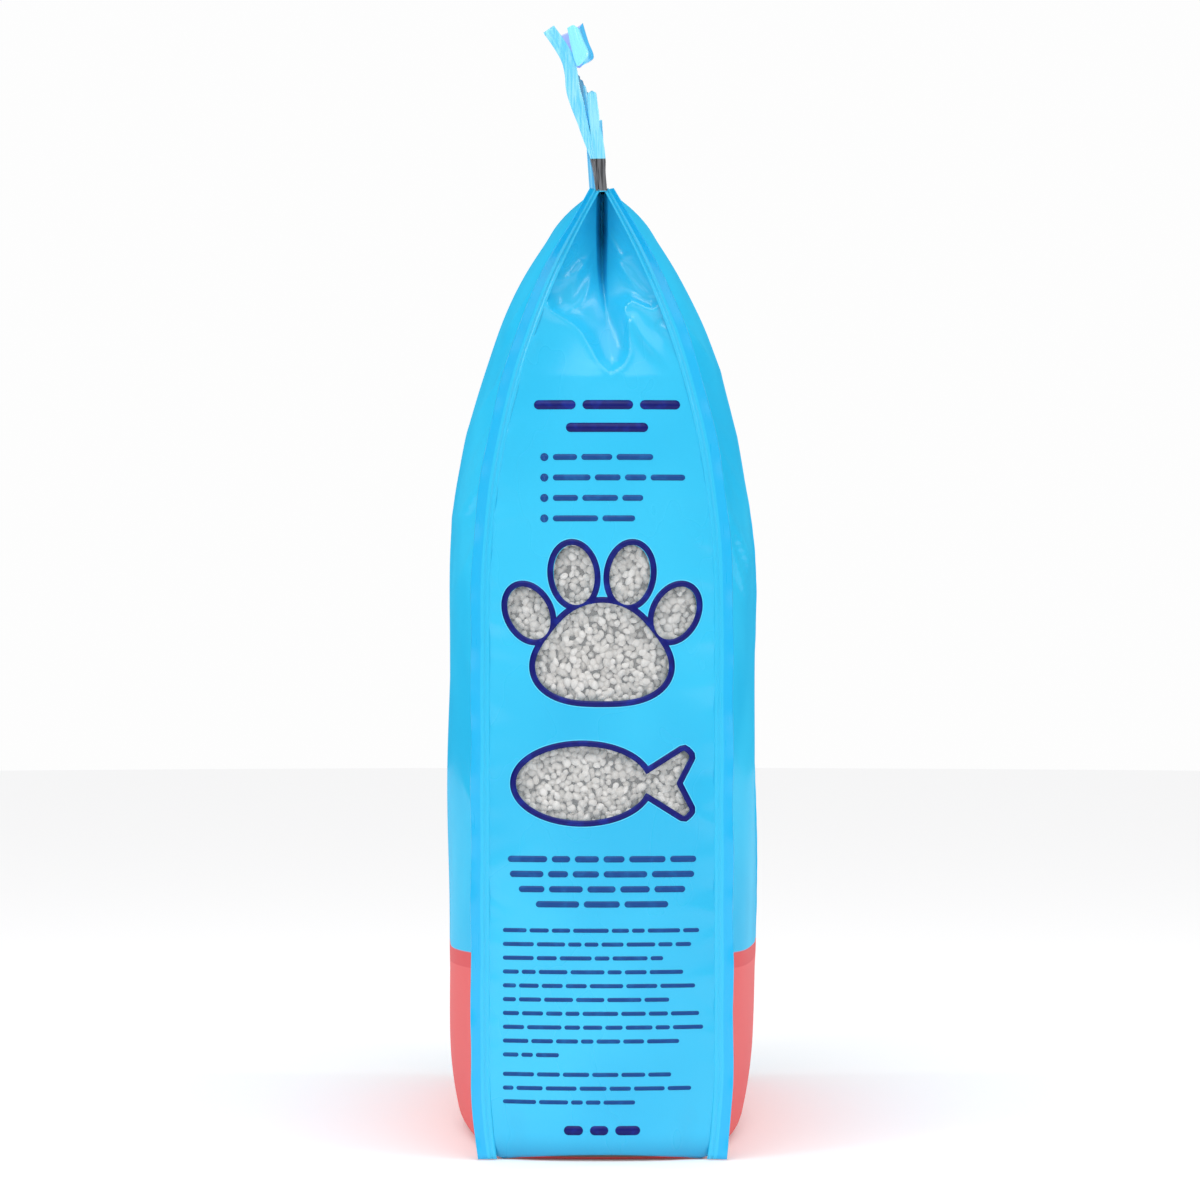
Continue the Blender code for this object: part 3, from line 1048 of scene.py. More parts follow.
@dataclass
class FilmBody(SubAssembly):
    """The bag's printed film: two gussets, two broad panels, the folded base and the back seam."""

    art: WindowArt = field(default_factory=WindowArt)
    film_thickness: float = 0.30 * MM
    front_columns: int = 92
    rear_columns: int = 56
    panel_columns: int = 150
    base_lift: float = 3.2 * MM
    seam_width: float = 14 * MM
    seam_foot: float = 14 * MM

    def lifted(self, u: Array, z: Array) -> Array:
        """Heights with the gusset's lower edge drawn up between its corners."""
        return z + self.base_lift * (1 - u * u) * self.form.near_base(z, 20 * MM)

    def front_gusset(self, material: bpy.types.Material) -> bpy.types.Object:
        """The -Y gusset, with its window cut out."""
        half = self.form.gusset_width / 2
        levels = film_levels(self.form, 1.25 * MM)
        across = np.linspace(-1, 1, self.front_columns)
        grid_a, grid_z = (m.ravel() for m in np.meshgrid(across * half, levels))
        points = np.column_stack([grid_a, grid_z])
        outlines = self.art.shapes()
        free = np.ones(len(points), bool)
        for outline in outlines:
            box = np.all((points > outline.min(0) - 2 * MM) & (points < outline.max(0) + 2 * MM), axis=1)
            away, _ = distance_to(np.vstack([outline, outline[:1]]), points[box])
            free[box] &= (away > 0.45 * MM) & ~inside(outline, points[box])

        def keep(middles: Array) -> Array:
            """Triangles that lie in no opening."""
            return ~np.any([inside(outline, middles) for outline in outlines], axis=0)

        spots, triangles = triangulate(points[free], outlines, keep)
        u, z = spots[:, 0] / half, spots[:, 1]
        made = mesh_object("gusset_window_side", self.form.gusset(Side.MINUS, u, self.lifted(u, z)), triangles, material)
        return give_thickness(made, self.film_thickness)

    def rear_gusset(self, material: bpy.types.Material) -> bpy.types.Object:
        """The +Y gusset, which is plain."""
        levels = film_levels(self.form, 2 * MM)
        across = np.linspace(-1, 1, self.rear_columns)
        u, z = (m.ravel() for m in np.meshgrid(across, levels))
        points = self.form.gusset(Side.PLUS, u, self.lifted(u, z))
        made = mesh_object("gusset_plain_side", points, grid_quads(len(levels), self.rear_columns), material)
        return give_thickness(made, self.film_thickness)

    def broad_panel(self, side: Side, material: bpy.types.Material) -> bpy.types.Object:
        """One of the broad panels."""
        levels = film_levels(self.form, 1.8 * MM)
        even = np.linspace(-1, 1, self.panel_columns)
        across = 0.72 * even + 0.28 * np.sin(even * math.pi / 2)
        v, z = (m.ravel() for m in np.meshgrid(across, levels))
        points = self.form.panel(side, v, z)
        name = f"broad_panel_{side.word}_x"
        made = mesh_object(name, points, grid_quads(len(levels), self.panel_columns), material)
        return give_thickness(made, self.film_thickness)

    def base(self, material: bpy.types.Material) -> bpy.types.Object:
        """The base film, folded flat under the litter and a little inside the walls' lower edges."""
        rings = []
        for z, inset in ((0.2 * MM, 1.5 * MM), (1.2 * MM, 0.3 * MM), (4 * MM, 0.6 * MM), (7 * MM, 1.5 * MM)):
            half_x = self.form.corner_x(z) - self.form.base_draw(z) - inset
            half_y = self.form.half_y - self.form.base_draw(z) - inset
            bulge = self.form.panel_bulge - self.form.bulge_inset
            share = np.linspace(-1, 1, 24, endpoint=False)
            ring = []
            for side in (-1, 1):
                out = (self.form.gusset_bulge * 0.55) * (1 - share**2)
                ring += zip(-side * share * half_x, side * (half_y + out))
                out = bulge * (1 - share**2)
                ring += zip(-side * (half_x + out), -side * share * half_y)
            rings.append([(x, y, z) for x, y in ring])
        count = len(rings[0])
        faces = [tuple(range(count))[::-1], tuple(range(3 * count, 4 * count))]
        for level in range(3):
            for i in range(count):
                j = (i + 1) % count
                a = level * count
                faces.append((a + i, a + j, a + count + j, a + count + i))
        made = mesh_object("base_fold", np.vstack(rings), faces, material)
        made.data.set_sharp_from_angle(angle=math.radians(50))
        return made

    def back_seam(self, material: bpy.types.Material) -> bpy.types.Object:
        """The film's lapped edge, down the middle of the +X panel."""
        half = self.seam_width / self.form.panel_width
        levels = np.linspace(self.seam_foot, self.form.top_height - 1 * MM, 190)
        across = np.linspace(-half, half, 9)
        v, z = (m.ravel() for m in np.meshgrid(across, levels))
        ripple = 0.12 * MM * np.sin(z * 260) * np.sin(v * 90)
        edge = 0.35 * MM * (1 - (np.abs(v) / half) ** 6)
        points = self.form.panel(Side.PLUS, v, z)
        points[:, 0] += 0.15 * MM + edge + ripple
        made = mesh_object("back_seam", points, grid_quads(len(levels), 9), material)
        return give_thickness(made, 0.4 * MM)

    def build(self, gusset_film: bpy.types.Material, panel_film: bpy.types.Material) -> None:
        """Makes the film's pieces."""
        self.finish_piece(self.front_gusset(gusset_film), "film", "film_bag")
        self.finish_piece(self.rear_gusset(gusset_film), "film")
        for side in Side:
            self.finish_piece(self.broad_panel(side, panel_film), "film")
        self.finish_piece(self.base(panel_film), "film")
        self.finish_piece(self.back_seam(panel_film), "film")


@dataclass
class CornerFins(SubAssembly):
    """The four corners' sealed strips: two layers of film, ribbed along the root and flat at the rim."""

    reach: float = 7.2 * MM
    inner: float = 2.6 * MM
    turn: float = math.radians(12)
    turn_top: float = math.radians(62)
    lift: float = 0.45 * MM
    thickness: float = 0.45 * MM
    foot: float = 0.6 * MM
    columns: int = 19
    rib_height: float = 0.62 * MM

    def strip(self, side_x: int, side_y: int, material: bpy.types.Material) -> bpy.types.Object:
        """The strip at one corner."""
        top = self.form.close_height - 0.7 * MM
        levels = np.concatenate([np.arange(self.foot, 0.372, 2.4 * MM), np.arange(0.372, top, 1.3 * MM), [top]])
        share = np.linspace(0, 1, self.columns)
        t, z = (m.ravel() for m in np.meshgrid(share, levels))
        root = self.form.corner_x(z)
        inner = np.minimum(self.inner, root * 0.8)
        turn = self.turn + (self.turn_top - self.turn) * ease(z, 0.415, 0.475)
        s = -inner + t * (inner + self.reach * (1 - 0.25 * ease(z, 0.455, 0.486)))
        phase = 1.7 * side_x + 0.9 * side_y
        wave = np.sin(z * 88 + phase) + 0.6 * np.sin(z * 197 + 2 * phase) + 0.3 * np.sin(z * 401)
        beyond = np.clip(s, 0, None)
        out = beyond * np.sin(turn) + self.lift + wave * 0.42 * MM * (beyond / self.reach) ** 2
        reach_wave = 0.25 * MM * np.sin(z * 120 + 3 * phase) * t
        x = side_x * (root + np.where(s > 0, s * np.cos(turn), s) + reach_wave)
        points = np.column_stack([x, side_y * (self.form.half_y + out), z])
        faces = grid_quads(len(levels), self.columns)
        if side_x * side_y > 0:
            faces = [face[::-1] for face in faces]
        names = {-1: "minus", 1: "plus"}
        made = mesh_object(f"fin_{names[side_x]}_x_{names[side_y]}_y", points, faces, material)
        carry(made, "across", t)
        return made

    def build(self, material: bpy.types.Material, ribs: bpy.types.GeometryNodeTree) -> None:
        """Makes the four strips."""
        inputs = {"Rib Height": self.rib_height, "Rib Count": 2.0, "Rib Share": 0.5, "Material": material}
        for side_y in (-1, 1):
            for side_x in (-1, 1):
                made = run_recipe(self.strip(side_x, side_y, material), ribs, inputs)
                self.finish_piece(give_thickness(made, self.thickness), "film")


@dataclass(frozen=True)
class Ribbon:
    """A strip of the header in the plane of a gusset: rows of x, z and width along its middle."""

    name: str
    rows: tuple[tuple[float, float, float], ...]
    depth: float
    rounded: bool = False
    ribs: float = 3.0


@dataclass
class Header(SubAssembly):
    """What stands above the top seal: loose plies, their sealed edges and a flared corner flap."""

    thickness: float = 0.28 * MM
    foot: float = 483.5 * MM
    far_lean: float = 5 * MM
    near_edge: tuple = (
        (-2.0, 484.0, 2.0), (-2.9, 492.5, 2.4), (-4.5, 500.0, 2.4), (-7.6, 511.5, 4.4), (-10.0, 519.7, 5.3),
        (-12.3, 527.5, 6.8), (-14.4, 535.0, 7.1), (-15.4, 543.0, 6.6), (-16.9, 549.8, 6.8), (-20.6, 556.5, 6.6),
        (-26.7, 565.3, 6.4),
    )
    back_edge: tuple = (
        (0.6, 484.0, 4.0), (-0.1, 492.5, 4.0), (-0.8, 500.0, 5.2), (-2.6, 511.5, 5.7), (-3.7, 517.0, 4.9),
        (-4.0, 521.5, 5.4), (-4.6, 527.5, 5.0), (-5.1, 534.4, 4.2),
    )
    leaf_edge: tuple = ((-2.4, 490.0, 1.4), (-3.9, 501.0, 1.6), (-6.4, 519.0, 1.9), (-7.7, 530.0, 1.9), (-9.0, 538.3, 1.5))

    @property
    def top(self) -> float:
        """Height of the cut edge."""
        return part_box("film_bag")[1].z

    def ribbons(self) -> list[Ribbon]:
        """The header's strips, at the near end and at the far end."""
        half_y = self.form.half_y
        rise = self.top - self.foot
        far = [(-self.far_lean * t / MM, (self.foot + rise * t) / MM, 6.0 - 2.5 * (1 - t) ** 3) for t in np.linspace(0, 1, 6)]
        return [
            Ribbon("header_edge_front", self.near_edge, -half_y - 0.9 * MM),
            Ribbon("header_edge_back", self.back_edge, -half_y - 1.5 * MM, True),
            Ribbon("header_edge_leaf", self.leaf_edge, -half_y + 6 * MM, True, 1.0),
            Ribbon("header_edge_far_front", tuple((x - 2.2, z, w) for x, z, w in far), half_y + 0.9 * MM),
            Ribbon("header_edge_far_back", tuple((x + 2.2, z - 6 * (z - 484) / 84, w) for x, z, w in far), half_y + 1.5 * MM),
        ]

    def strip(self, ribbon: Ribbon, material: bpy.types.Material) -> bpy.types.Object:
        """One ribbon, laid square to its own middle line."""
        rows = to_array(ribbon.rows) * MM
        run = np.concatenate([[0], np.cumsum(np.hypot(np.diff(rows[:, 0]), np.diff(rows[:, 1])))])
        at = np.linspace(0, run[-1], int(run[-1] / (0.9 * MM)))
        x, z, width = smooth_curve(np.column_stack([run, rows]), at).T
        along = np.column_stack([np.gradient(x), np.gradient(z)])
        along /= np.linalg.norm(along, axis=1)[:, None]
        if ribbon.rounded:
            left = np.clip((run[-1] - at) / (1.6 * MM), 0, 1)
            width = width * np.sqrt(np.clip(1 - (1 - left) ** 2, 0.02, 1))
        columns = 25
        t = np.linspace(0, 1, columns)
        offset = (t[None, :] - 0.5) * width[:, None]
        px = x[:, None] + offset * along[:, 1:2]
        pz = z[:, None] - offset * along[:, 0:1]
        bow = 0.5 * MM * np.sin(at * 75)[:, None] * (t[None, :] - 0.5)
        facing = math.copysign(1, ribbon.depth)
        py = ribbon.depth + facing * (0.35 * MM * np.sin(at * 110)[:, None] + bow)
        points = np.column_stack([px.ravel(), (py + 0 * px).ravel(), pz.ravel()])
        faces = grid_quads(len(at), columns)
        if facing > 0:
            faces = [face[::-1] for face in faces]
        made = mesh_object(ribbon.name, points, faces, material)
        carry(made, "across", np.tile(t, len(at)))
        return made

    def ply(self, name: str, top_drop: float, gap: tuple[float, float], material: bpy.types.Material) -> bpy.types.Object:
        """One of the header's two full-width plies.

        Args:
            name: The piece's name.
            top_drop: How much lower than the header's top its upper edge lies.
            gap: How far towards +X of the front ply it lies, at the seal and at the top.
            material: Its finish.

        Returns:
            The ply.
        """
        rows, columns = 46, 120
        share, v = (m.ravel() for m in np.meshgrid(np.linspace(0, 1, rows), np.linspace(-1, 1, columns), indexing="ij"))
        edge = np.interp(v, [-1, 1], [self.near_edge[-1][1] * MM + 1 * MM, self.top - 0.5 * MM]) - top_drop
        edge = edge + 0.7 * MM * np.sin(v * 9) * (1 - v * v)
        z = self.foot + share * (edge - self.foot)
        near_rows = to_array([(zz, xx) for xx, zz, _ in self.near_edge]) * MM
        near = smooth_curve(near_rows, z)[:, 0] + 1.2 * MM
        rise = (z - self.foot) / (self.top - self.foot)
        far = -self.far_lean * rise
        x = far + (near - far) * (1 - ease(v, -1, 1))
        x = x + (gap[0] + (gap[1] - gap[0]) * ease(rise, 0.0, 0.6))
        ripple = np.sin(v * 11 + 1.2) + 0.5 * np.sin(v * 23 + 4 * rise) + 0.35 * np.sin(v * 47 + 2)
        x = x + 1.1 * MM * ripple * rise * (1 - v**4)
        made = mesh_object(name, np.column_stack([x, v * self.form.half_y, z]), grid_quads(rows, columns), material)
        return give_thickness(made, self.thickness)

    def flap(self, material: bpy.types.Material) -> bpy.types.Object:
        """The flared corner at the near end: the gusset's ply, open like the mouth of a box."""
        back, front = -158 * MM, -175 * MM
        columns = (
            ((-12.5, 546.8), (-15.0, 552.5), (-18.0, 558.5), (-21.0, 564.2)),
            ((-12.0, 546.6), (-12.2, 552.0), (-14.0, 559.0), (-15.8, 567.0)),
            ((-10.8, 546.7), (-4.3, 553.4), (-7.0, 561.0), (-9.8, 570.3)),
            ((-9.2, 549.2), (-5.8, 552.6), (-8.6, 560.0), (-10.8, 567.8)),
            ((-9.8, 548.4), (-7.1, 553.2), (-9.6, 559.6), (-11.9, 565.7)),
            ((-11.2, 546.8), (-10.6, 553.4), (-12.6, 560.0), (-14.4, 567.0)),
            ((-12.4, 546.5), (-14.1, 551.0), (-15.8, 558.0), (-17.3, 565.7)),
        )
        depths = (back, back + 3 * MM, back - 1 * MM, (back + front) / 2, front + 1 * MM, front - 0.4 * MM, front + 0.6 * MM)
        t = np.linspace(0, 1, 97)
        s = np.linspace(0, 1, 30)
        across = np.linspace(0, 1, len(columns))
        rails = [smooth_curve(np.column_stack([np.linspace(0, 1, 4), to_array(c) * MM]), s) for c in columns]
        rows = []
        for k, share in enumerate(s):
            spread = 0.25 + 0.75 * ease(share, 0.0, 0.35)
            line = [(*rail[k], front + (depth - front) * spread) for rail, depth in zip(rails, depths)]
            rows.append(smooth_curve(np.column_stack([across, to_array(line)]), t))
        flute = 0.16 * MM * np.sin(t * 58) * ease(t, 0.62, 0.70)
        grid = np.stack(rows)
        points = np.column_stack([grid[:, :, 0].ravel(), (grid[:, :, 2] + flute[None, :]).ravel(), grid[:, :, 1].ravel()])
        made = mesh_object("header_corner_flap", points, grid_quads(len(s), len(t)), material)
        # Tones for the flap's faces: inside picks the lilac of the inner faces, side the deeper painted shade of the
        # side face; the rest keeps the paler painted lit tone.
        carry(made, "inside", np.tile(1 - ease(t, 0.28, 0.40), len(s)))
        carry(made, "side", np.tile(ease(t, 0.34, 0.40) * (1 - ease(t, 0.58, 0.70)), len(s)))
        return give_thickness(made, 0.22 * MM)

    def build(
        self,
        edge_film: bpy.types.Material,
        ply_film: bpy.types.Material,
        flap_film: bpy.types.Material,
        ribs: bpy.types.GeometryNodeTree,
    ) -> None:
        """Makes the header's pieces."""
        for ribbon in self.ribbons():
            made = self.strip(ribbon, edge_film)
            inputs = {"Rib Height": 0.28 * MM, "Rib Count": ribbon.ribs, "Rib Share": 1.02, "Material": edge_film}
            made = run_recipe(made, ribs, inputs)
            self.finish_piece(give_thickness(made, self.thickness), "film")
        self.finish_piece(self.ply("header_ply_front", 0.0, (-0.6 * MM, 0.0), ply_film), "film")
        self.finish_piece(self.ply("header_ply_back", 2.5 * MM, (2.6 * MM, 1.5 * MM), ply_film), "film")
        self.finish_piece(self.flap(flap_film), "film")


@dataclass
class WindowTrim(SubAssembly):
    """The window's printed rim and the clear film behind it."""

    art: WindowArt = field(default_factory=WindowArt)
    ink_lift: float = 0.14 * MM
    ink_thickness: float = 0.08 * MM
    clear_depth: float = 1.5 * MM
    clear_thickness: float = 0.2 * MM
    clear_size: Point2 = (106 * MM, 158 * MM)

    def on_gusset(self, spots: Array, lift: float) -> Array:
        """Points of a drawing in x and z, laid on the -Y gusset."""
        return self.form.gusset(Side.MINUS, spots[:, 0] / self.form.corner_x(spots[:, 1]), spots[:, 1], lift)

    def rim(self, name: str, near: float, far: float, lift: float, material: bpy.types.Material) -> bpy.types.Object:
        """The ring round every opening, from near to far outside its edge."""
        holes = self.art.shapes()
        inner = [self.art.grown(hole, near) if near > 0 else hole for hole in holes]
        outer = [self.art.grown(hole, far) for hole in holes]

        def keep(middles: Array) -> Array:
            """Triangles in the ring."""
            within = np.any([inside(outline, middles) for outline in outer], axis=0)
            return within & ~np.any([inside(outline, middles) for outline in inner], axis=0)

        spots, triangles = triangulate(np.zeros((0, 2)), [*inner, *outer], keep)
        made = mesh_object(name, self.on_gusset(spots, lift), triangles, material)
        return give_thickness(made, self.ink_thickness)

    def clear_patch(self, material: bpy.types.Material) -> bpy.types.Object:
        """The clear film behind the openings."""
        half_x, half_z = self.clear_size[0] / 2, self.clear_size[1] / 2
        xs = np.linspace(-half_x, half_x, 40)
        zs = np.linspace(self.art.centre_height - half_z, self.art.centre_height + half_z, 60)
        x, z = (m.ravel() for m in np.meshgrid(xs, zs))
        bow = 0.16 * MM * (np.sin(x * 140 + z * 60) + np.sin(z * 110 - x * 50))
        points = self.on_gusset(np.column_stack([x, z]), -self.clear_depth)
        points[:, 1] += bow
        made = mesh_object("window_clear_film", points, grid_quads(len(zs), len(xs)), material)
        return give_thickness(made, self.clear_thickness)

    def build(self, ink: bpy.types.Material, halo: bpy.types.Material, clear: bpy.types.Material) -> None:
        """Makes the rim, its pale surround and the clear film."""
        edge = self.art.rim + self.art.halo
        self.finish_piece(self.rim("window_rim_ink", -1.0, self.art.rim, self.ink_lift, ink), "film")
        self.finish_piece(self.rim("window_rim_surround", self.art.rim, edge, self.ink_lift * 0.8, halo), "film")
        self.finish_piece(self.clear_patch(clear), "clear_film", "window_film")


@dataclass(frozen=True)
class TextBlock:
    """Lines of plain bars that stand for words, with no lettering."""

    top: float
    pitch: float
    widths: tuple[float, ...]
    bar: float
    word: tuple[float, float]
    left: Union[float, None] = None
    middle: float = 0.0
    dots: float = 0.0


@dataclass
class Print(SubAssembly):
    """The print on the -Y gusset: plain bars in place of words."""

    art: WindowArt = field(default_factory=WindowArt)
    lift: float = 0.14 * MM
    thickness: float = 0.08 * MM
    blocks: dict = field(
        default_factory=lambda: {
            "title": TextBlock(377.5 * MM, 11.4 * MM, (0.073, 0.041), 4.6 * MM, (0.022, 0.040), middle=2.5 * MM),
            "points": TextBlock(351.3 * MM, 10.2 * MM, (0.050, 0.066, 0.045, 0.041), 2.9 * MM, (0.011, 0.026),
                                left=-24.5 * MM, dots=2.0 * MM),
            "claim": TextBlock(150.8 * MM, 7.5 * MM, (0.094, 0.092, 0.083, 0.066), 3.1 * MM, (0.010, 0.024)),
            "notes": TextBlock(115.2 * MM, 6.9 * MM, (0.098, 0.094, 0.080, 0.090, 0.096, 0.083, 0.098, 0.100, 0.088, 0.028),
                               2.0 * MM, (0.006, 0.018), left=-49.5 * MM),
            "care": TextBlock(43.4 * MM, 6.9 * MM, (0.084, 0.094, 0.066), 2.0 * MM, (0.006, 0.018), left=-49.5 * MM),
            "size": TextBlock(15.6 * MM, 10 * MM, (0.038,), 4.6 * MM, (0.009, 0.016)),
        }
    )

    def capsule(self, left: float, right: float, z: float, height: float) -> tuple[Array, list]:
        """A bar with round ends, as a small grid.

        Args:
            left: Its left end.
            right: Its right end.
            z: Its middle height.
            height: How tall it is.

        Returns:
            Its points in x and z, and its faces.
        """
        r = min(height, right - left) / 2
        turn = np.linspace(0, math.pi / 2, 6)
        start = left + r - r * np.cos(turn)
        body = np.linspace(left + r, right - r, max(2, int((right - left) / (4 * MM)) + 1))[1:-1]
        xs = np.concatenate([start, body, (left + right - start)[::-1]])
        half = r * np.sqrt(np.clip(1 - (np.clip(np.maximum(left + r - xs, xs - right + r), 0, r) / r) ** 2, 0.004, 1))
        rows = [np.column_stack([xs, z + share * half]) for share in (-1.0, 0.0, 1.0)]
        return np.vstack(rows), grid_quads(3, len(xs))

    def words(self, block: TextBlock, seed: int) -> list[tuple[float, float, float, float]]:
        """Left end, right end, height and thickness of every bar in a block."""
        draw = np.random.default_rng(seed)
        found = []
        for row, width in enumerate(block.widths):
            z = block.top - row * block.pitch
            left = block.left if block.left is not None else block.middle - width / 2
            gap = block.bar * 0.75
            lengths = []
            while sum(lengths) + gap * len(lengths) < width:
                lengths.append(draw.uniform(*block.word))
            scale = (width - gap * (len(lengths) - 1)) / sum(lengths)
            x = left
            for length in lengths:
                found.append((x, x + length * scale, z, block.bar))
                x += length * scale + gap
            if block.dots:
                dot = left - 4.3 * MM
                found.append((dot - block.dots, dot + block.dots, z, 2 * block.dots))
        return found

    def build(self, inks: dict[str, bpy.types.Material]) -> None:
        """Makes one piece of each block."""
        for seed, (name, block) in enumerate(self.blocks.items()):
            points, faces = [], []
            for left, right, z, height in self.words(block, 70 + seed):
                spots, quads = self.capsule(left, right, z, height)
                start = sum(len(p) for p in points)
                points.append(spots)
                faces += [tuple(start + i for i in quad) for quad in quads]
            spots = np.vstack(points)
            u = spots[:, 0] / self.form.corner_x(spots[:, 1])
            made = mesh_object(f"print_{name}", self.form.gusset(Side.MINUS, u, spots[:, 1], self.lift), faces, inks[name])
            self.finish_piece(give_thickness(made, self.thickness), "film")


@dataclass
class Litter(SubAssembly):
    """The litter: a bed that fills the bag, and loose crumbs where the window shows them."""

    art: WindowArt = field(default_factory=WindowArt)
    skin: float = 2.6 * MM
    window_skin: float = 8.5 * MM
    fill_shoulder: float = 380 * MM
    fill_top: float = 402 * MM
    crumb_margin: float = 4.5 * MM
    crumb_depth: float = 4.6 * MM
    crumb_shapes: int = 8
    crumb_count_per_layer: float = 2.7 * MM

    def bed(self, material: bpy.types.Material) -> bpy.types.Object:
        """The heaped litter as one body, drawn back behind the window."""
        levels = np.concatenate([np.linspace(1.8 * MM, self.fill_shoulder, 60)])
        share = np.linspace(-1, 1, 32, endpoint=False)
        rings = []
        for z in levels:
            ring = []
            for side in (-1, 1):
                near_window = ease(-abs(z - self.art.centre_height), -95 * MM, -80 * MM) if side < 0 else 0.0
                skin = self.skin + (self.window_skin - self.skin) * float(near_window)
                corner = float(self.form.corner_x(z) - self.form.base_draw(z)) - self.skin
                half_y = self.form.half_y - float(self.form.base_draw(z)) - self.skin
                swell = self.form.gusset_bulge * float(1 - ease(z, 0.342, 0.422)) * (1 - share**2)
                pulled = (skin - self.skin) * (1 - share**8)
                ring += zip(-side * share * corner, side * (half_y + swell - pulled), [z] * len(share))
                bulge = float(self.form.panel_swell([z])[0])
                ring += zip(-side * (corner + bulge * (1 - share**2)), -side * share * half_y, [z] * len(share))
            rings.append(to_array(ring))
        for rise in (0.3, 0.6, 0.85, 0.97):
            ring = rings[len(levels) - 1].copy()
            ring[:, :2] *= math.sqrt(1 - rise**2)
            ring[:, 2] = self.fill_shoulder + (self.fill_top - self.fill_shoulder) * rise
            rings.append(ring)
        count = len(rings[0])
        faces = [tuple(range(count))[::-1], tuple(range((len(rings) - 1) * count, len(rings) * count))]
        for level in range(len(rings) - 1):
            for i in range(count):
                j = (i + 1) % count
                a = level * count
                faces.append((a + i, a + j, a + count + j, a + count + i))
        made = mesh_object("litter_bed", np.vstack(rings), faces, material)
        # Tint 1 puts the bed's darkest tone everywhere, as painted shade.
        carry(made, "tint", np.ones(len(made.data.vertices)))
        return made

    def crumb_collection(self) -> bpy.types.Collection:
        """A few angular crumbs, each about 1 across, kept out of the scene."""
        kept = bpy.data.collections.new("crumb_shapes")
        draw = np.random.default_rng(5)
        for number in range(self.crumb_shapes):
            bm = bmesh.new()
            bmesh.ops.create_icosphere(bm, subdivisions=2, radius=0.5)
            long = Vector((1.0 + draw.uniform(0, 0.45), 1.0, 1.0 - draw.uniform(0.05, 0.35)))
            cuts = [Vector(draw.normal(size=3)).normalized() for _ in range(9)]
            for vert in bm.verts:
                at = Vector([a * b for a, b in zip(vert.co, long)])
                for cut in cuts:
                    over = at.dot(cut) - 0.36
                    if over > 0:
                        at -= cut * over * 0.93
                vert.co = at
            bmesh.ops.dissolve_limit(bm, angle_limit=math.radians(7), verts=bm.verts, edges=bm.edges)
            bmesh.ops.triangulate(bm, faces=bm.faces)
            mesh = bpy.data.meshes.new(f"crumb_{number}")
            bm.to_mesh(mesh)
            bm.free()
            mesh.shade_smooth()
            mesh.set_sharp_from_angle(angle=math.radians(42))
            kept.objects.link(bpy.data.objects.new(mesh.name, mesh))
        return kept

    def crumbs(self, material: bpy.types.Material) -> bpy.types.Object:
        """The crumbs behind the window."""
        shapes = self.art.shapes()
        half_x, half_z = 60 * MM, 88 * MM
        xs = np.arange(-half_x, half_x, 1.5 * MM)
        zs = np.arange(self.art.centre_height - half_z, self.art.centre_height + half_z, 1.5 * MM)
        x, z = (m.ravel() for m in np.meshgrid(xs, zs))
        spots = np.column_stack([x, z])
        wanted = np.zeros(len(spots), bool)
        for shape in shapes:
            away, _ = distance_to(np.vstack([shape, shape[:1]]), spots)
            wanted |= inside(shape, spots) | (away < self.crumb_margin)
        u = x / self.form.corner_x(z)
        points = self.form.gusset(Side.MINUS, u, z, -4.2 * MM)
        quads = [quad for quad in grid_quads(len(zs), len(xs)) if all(wanted[i] for i in quad)]
        patch = mesh_object("litter_crumbs", points, quads, material)
        inputs = {
            "Spacing": 2.35 * MM, "Depth": self.crumb_depth, "Least Size": 3.4 * MM, "Most Size": 5.4 * MM,
            "Seed": 7, "Shapes": self.crumb_collection(), "Material": material,
        }
        return run_recipe(patch, crumb_recipe(), inputs)

    def build(self, bed_clay: bpy.types.Material, crumb_clay: bpy.types.Material) -> None:
        """Makes the bed and the crumbs."""
        self.finish_piece(self.bed(bed_clay), "litter", "litter_fill")
        self.finish_piece(self.crumbs(crumb_clay), "litter")


# -------------------------------------------------------------------- studio


@dataclass(frozen=True)
class Lamp:
    """A soft rectangular light that faces a point."""

    name: str
    place: tuple[float, float, float]
    aim: tuple[float, float, float]
    size: Point2
    power: float

    def build(self) -> None:
        """Adds the light."""
        data = bpy.data.lights.new(self.name, "AREA")
        data.shape = "RECTANGLE"
        data.size, data.size_y = self.size
        data.energy = self.power
        lamp = bpy.data.objects.new(self.name, data)
        lamp.location = self.place
        lamp.rotation_euler = (Vector(self.aim) - Vector(self.place)).to_track_quat("-Z", "Y").to_euler()
        bpy.context.scene.collection.objects.link(lamp)


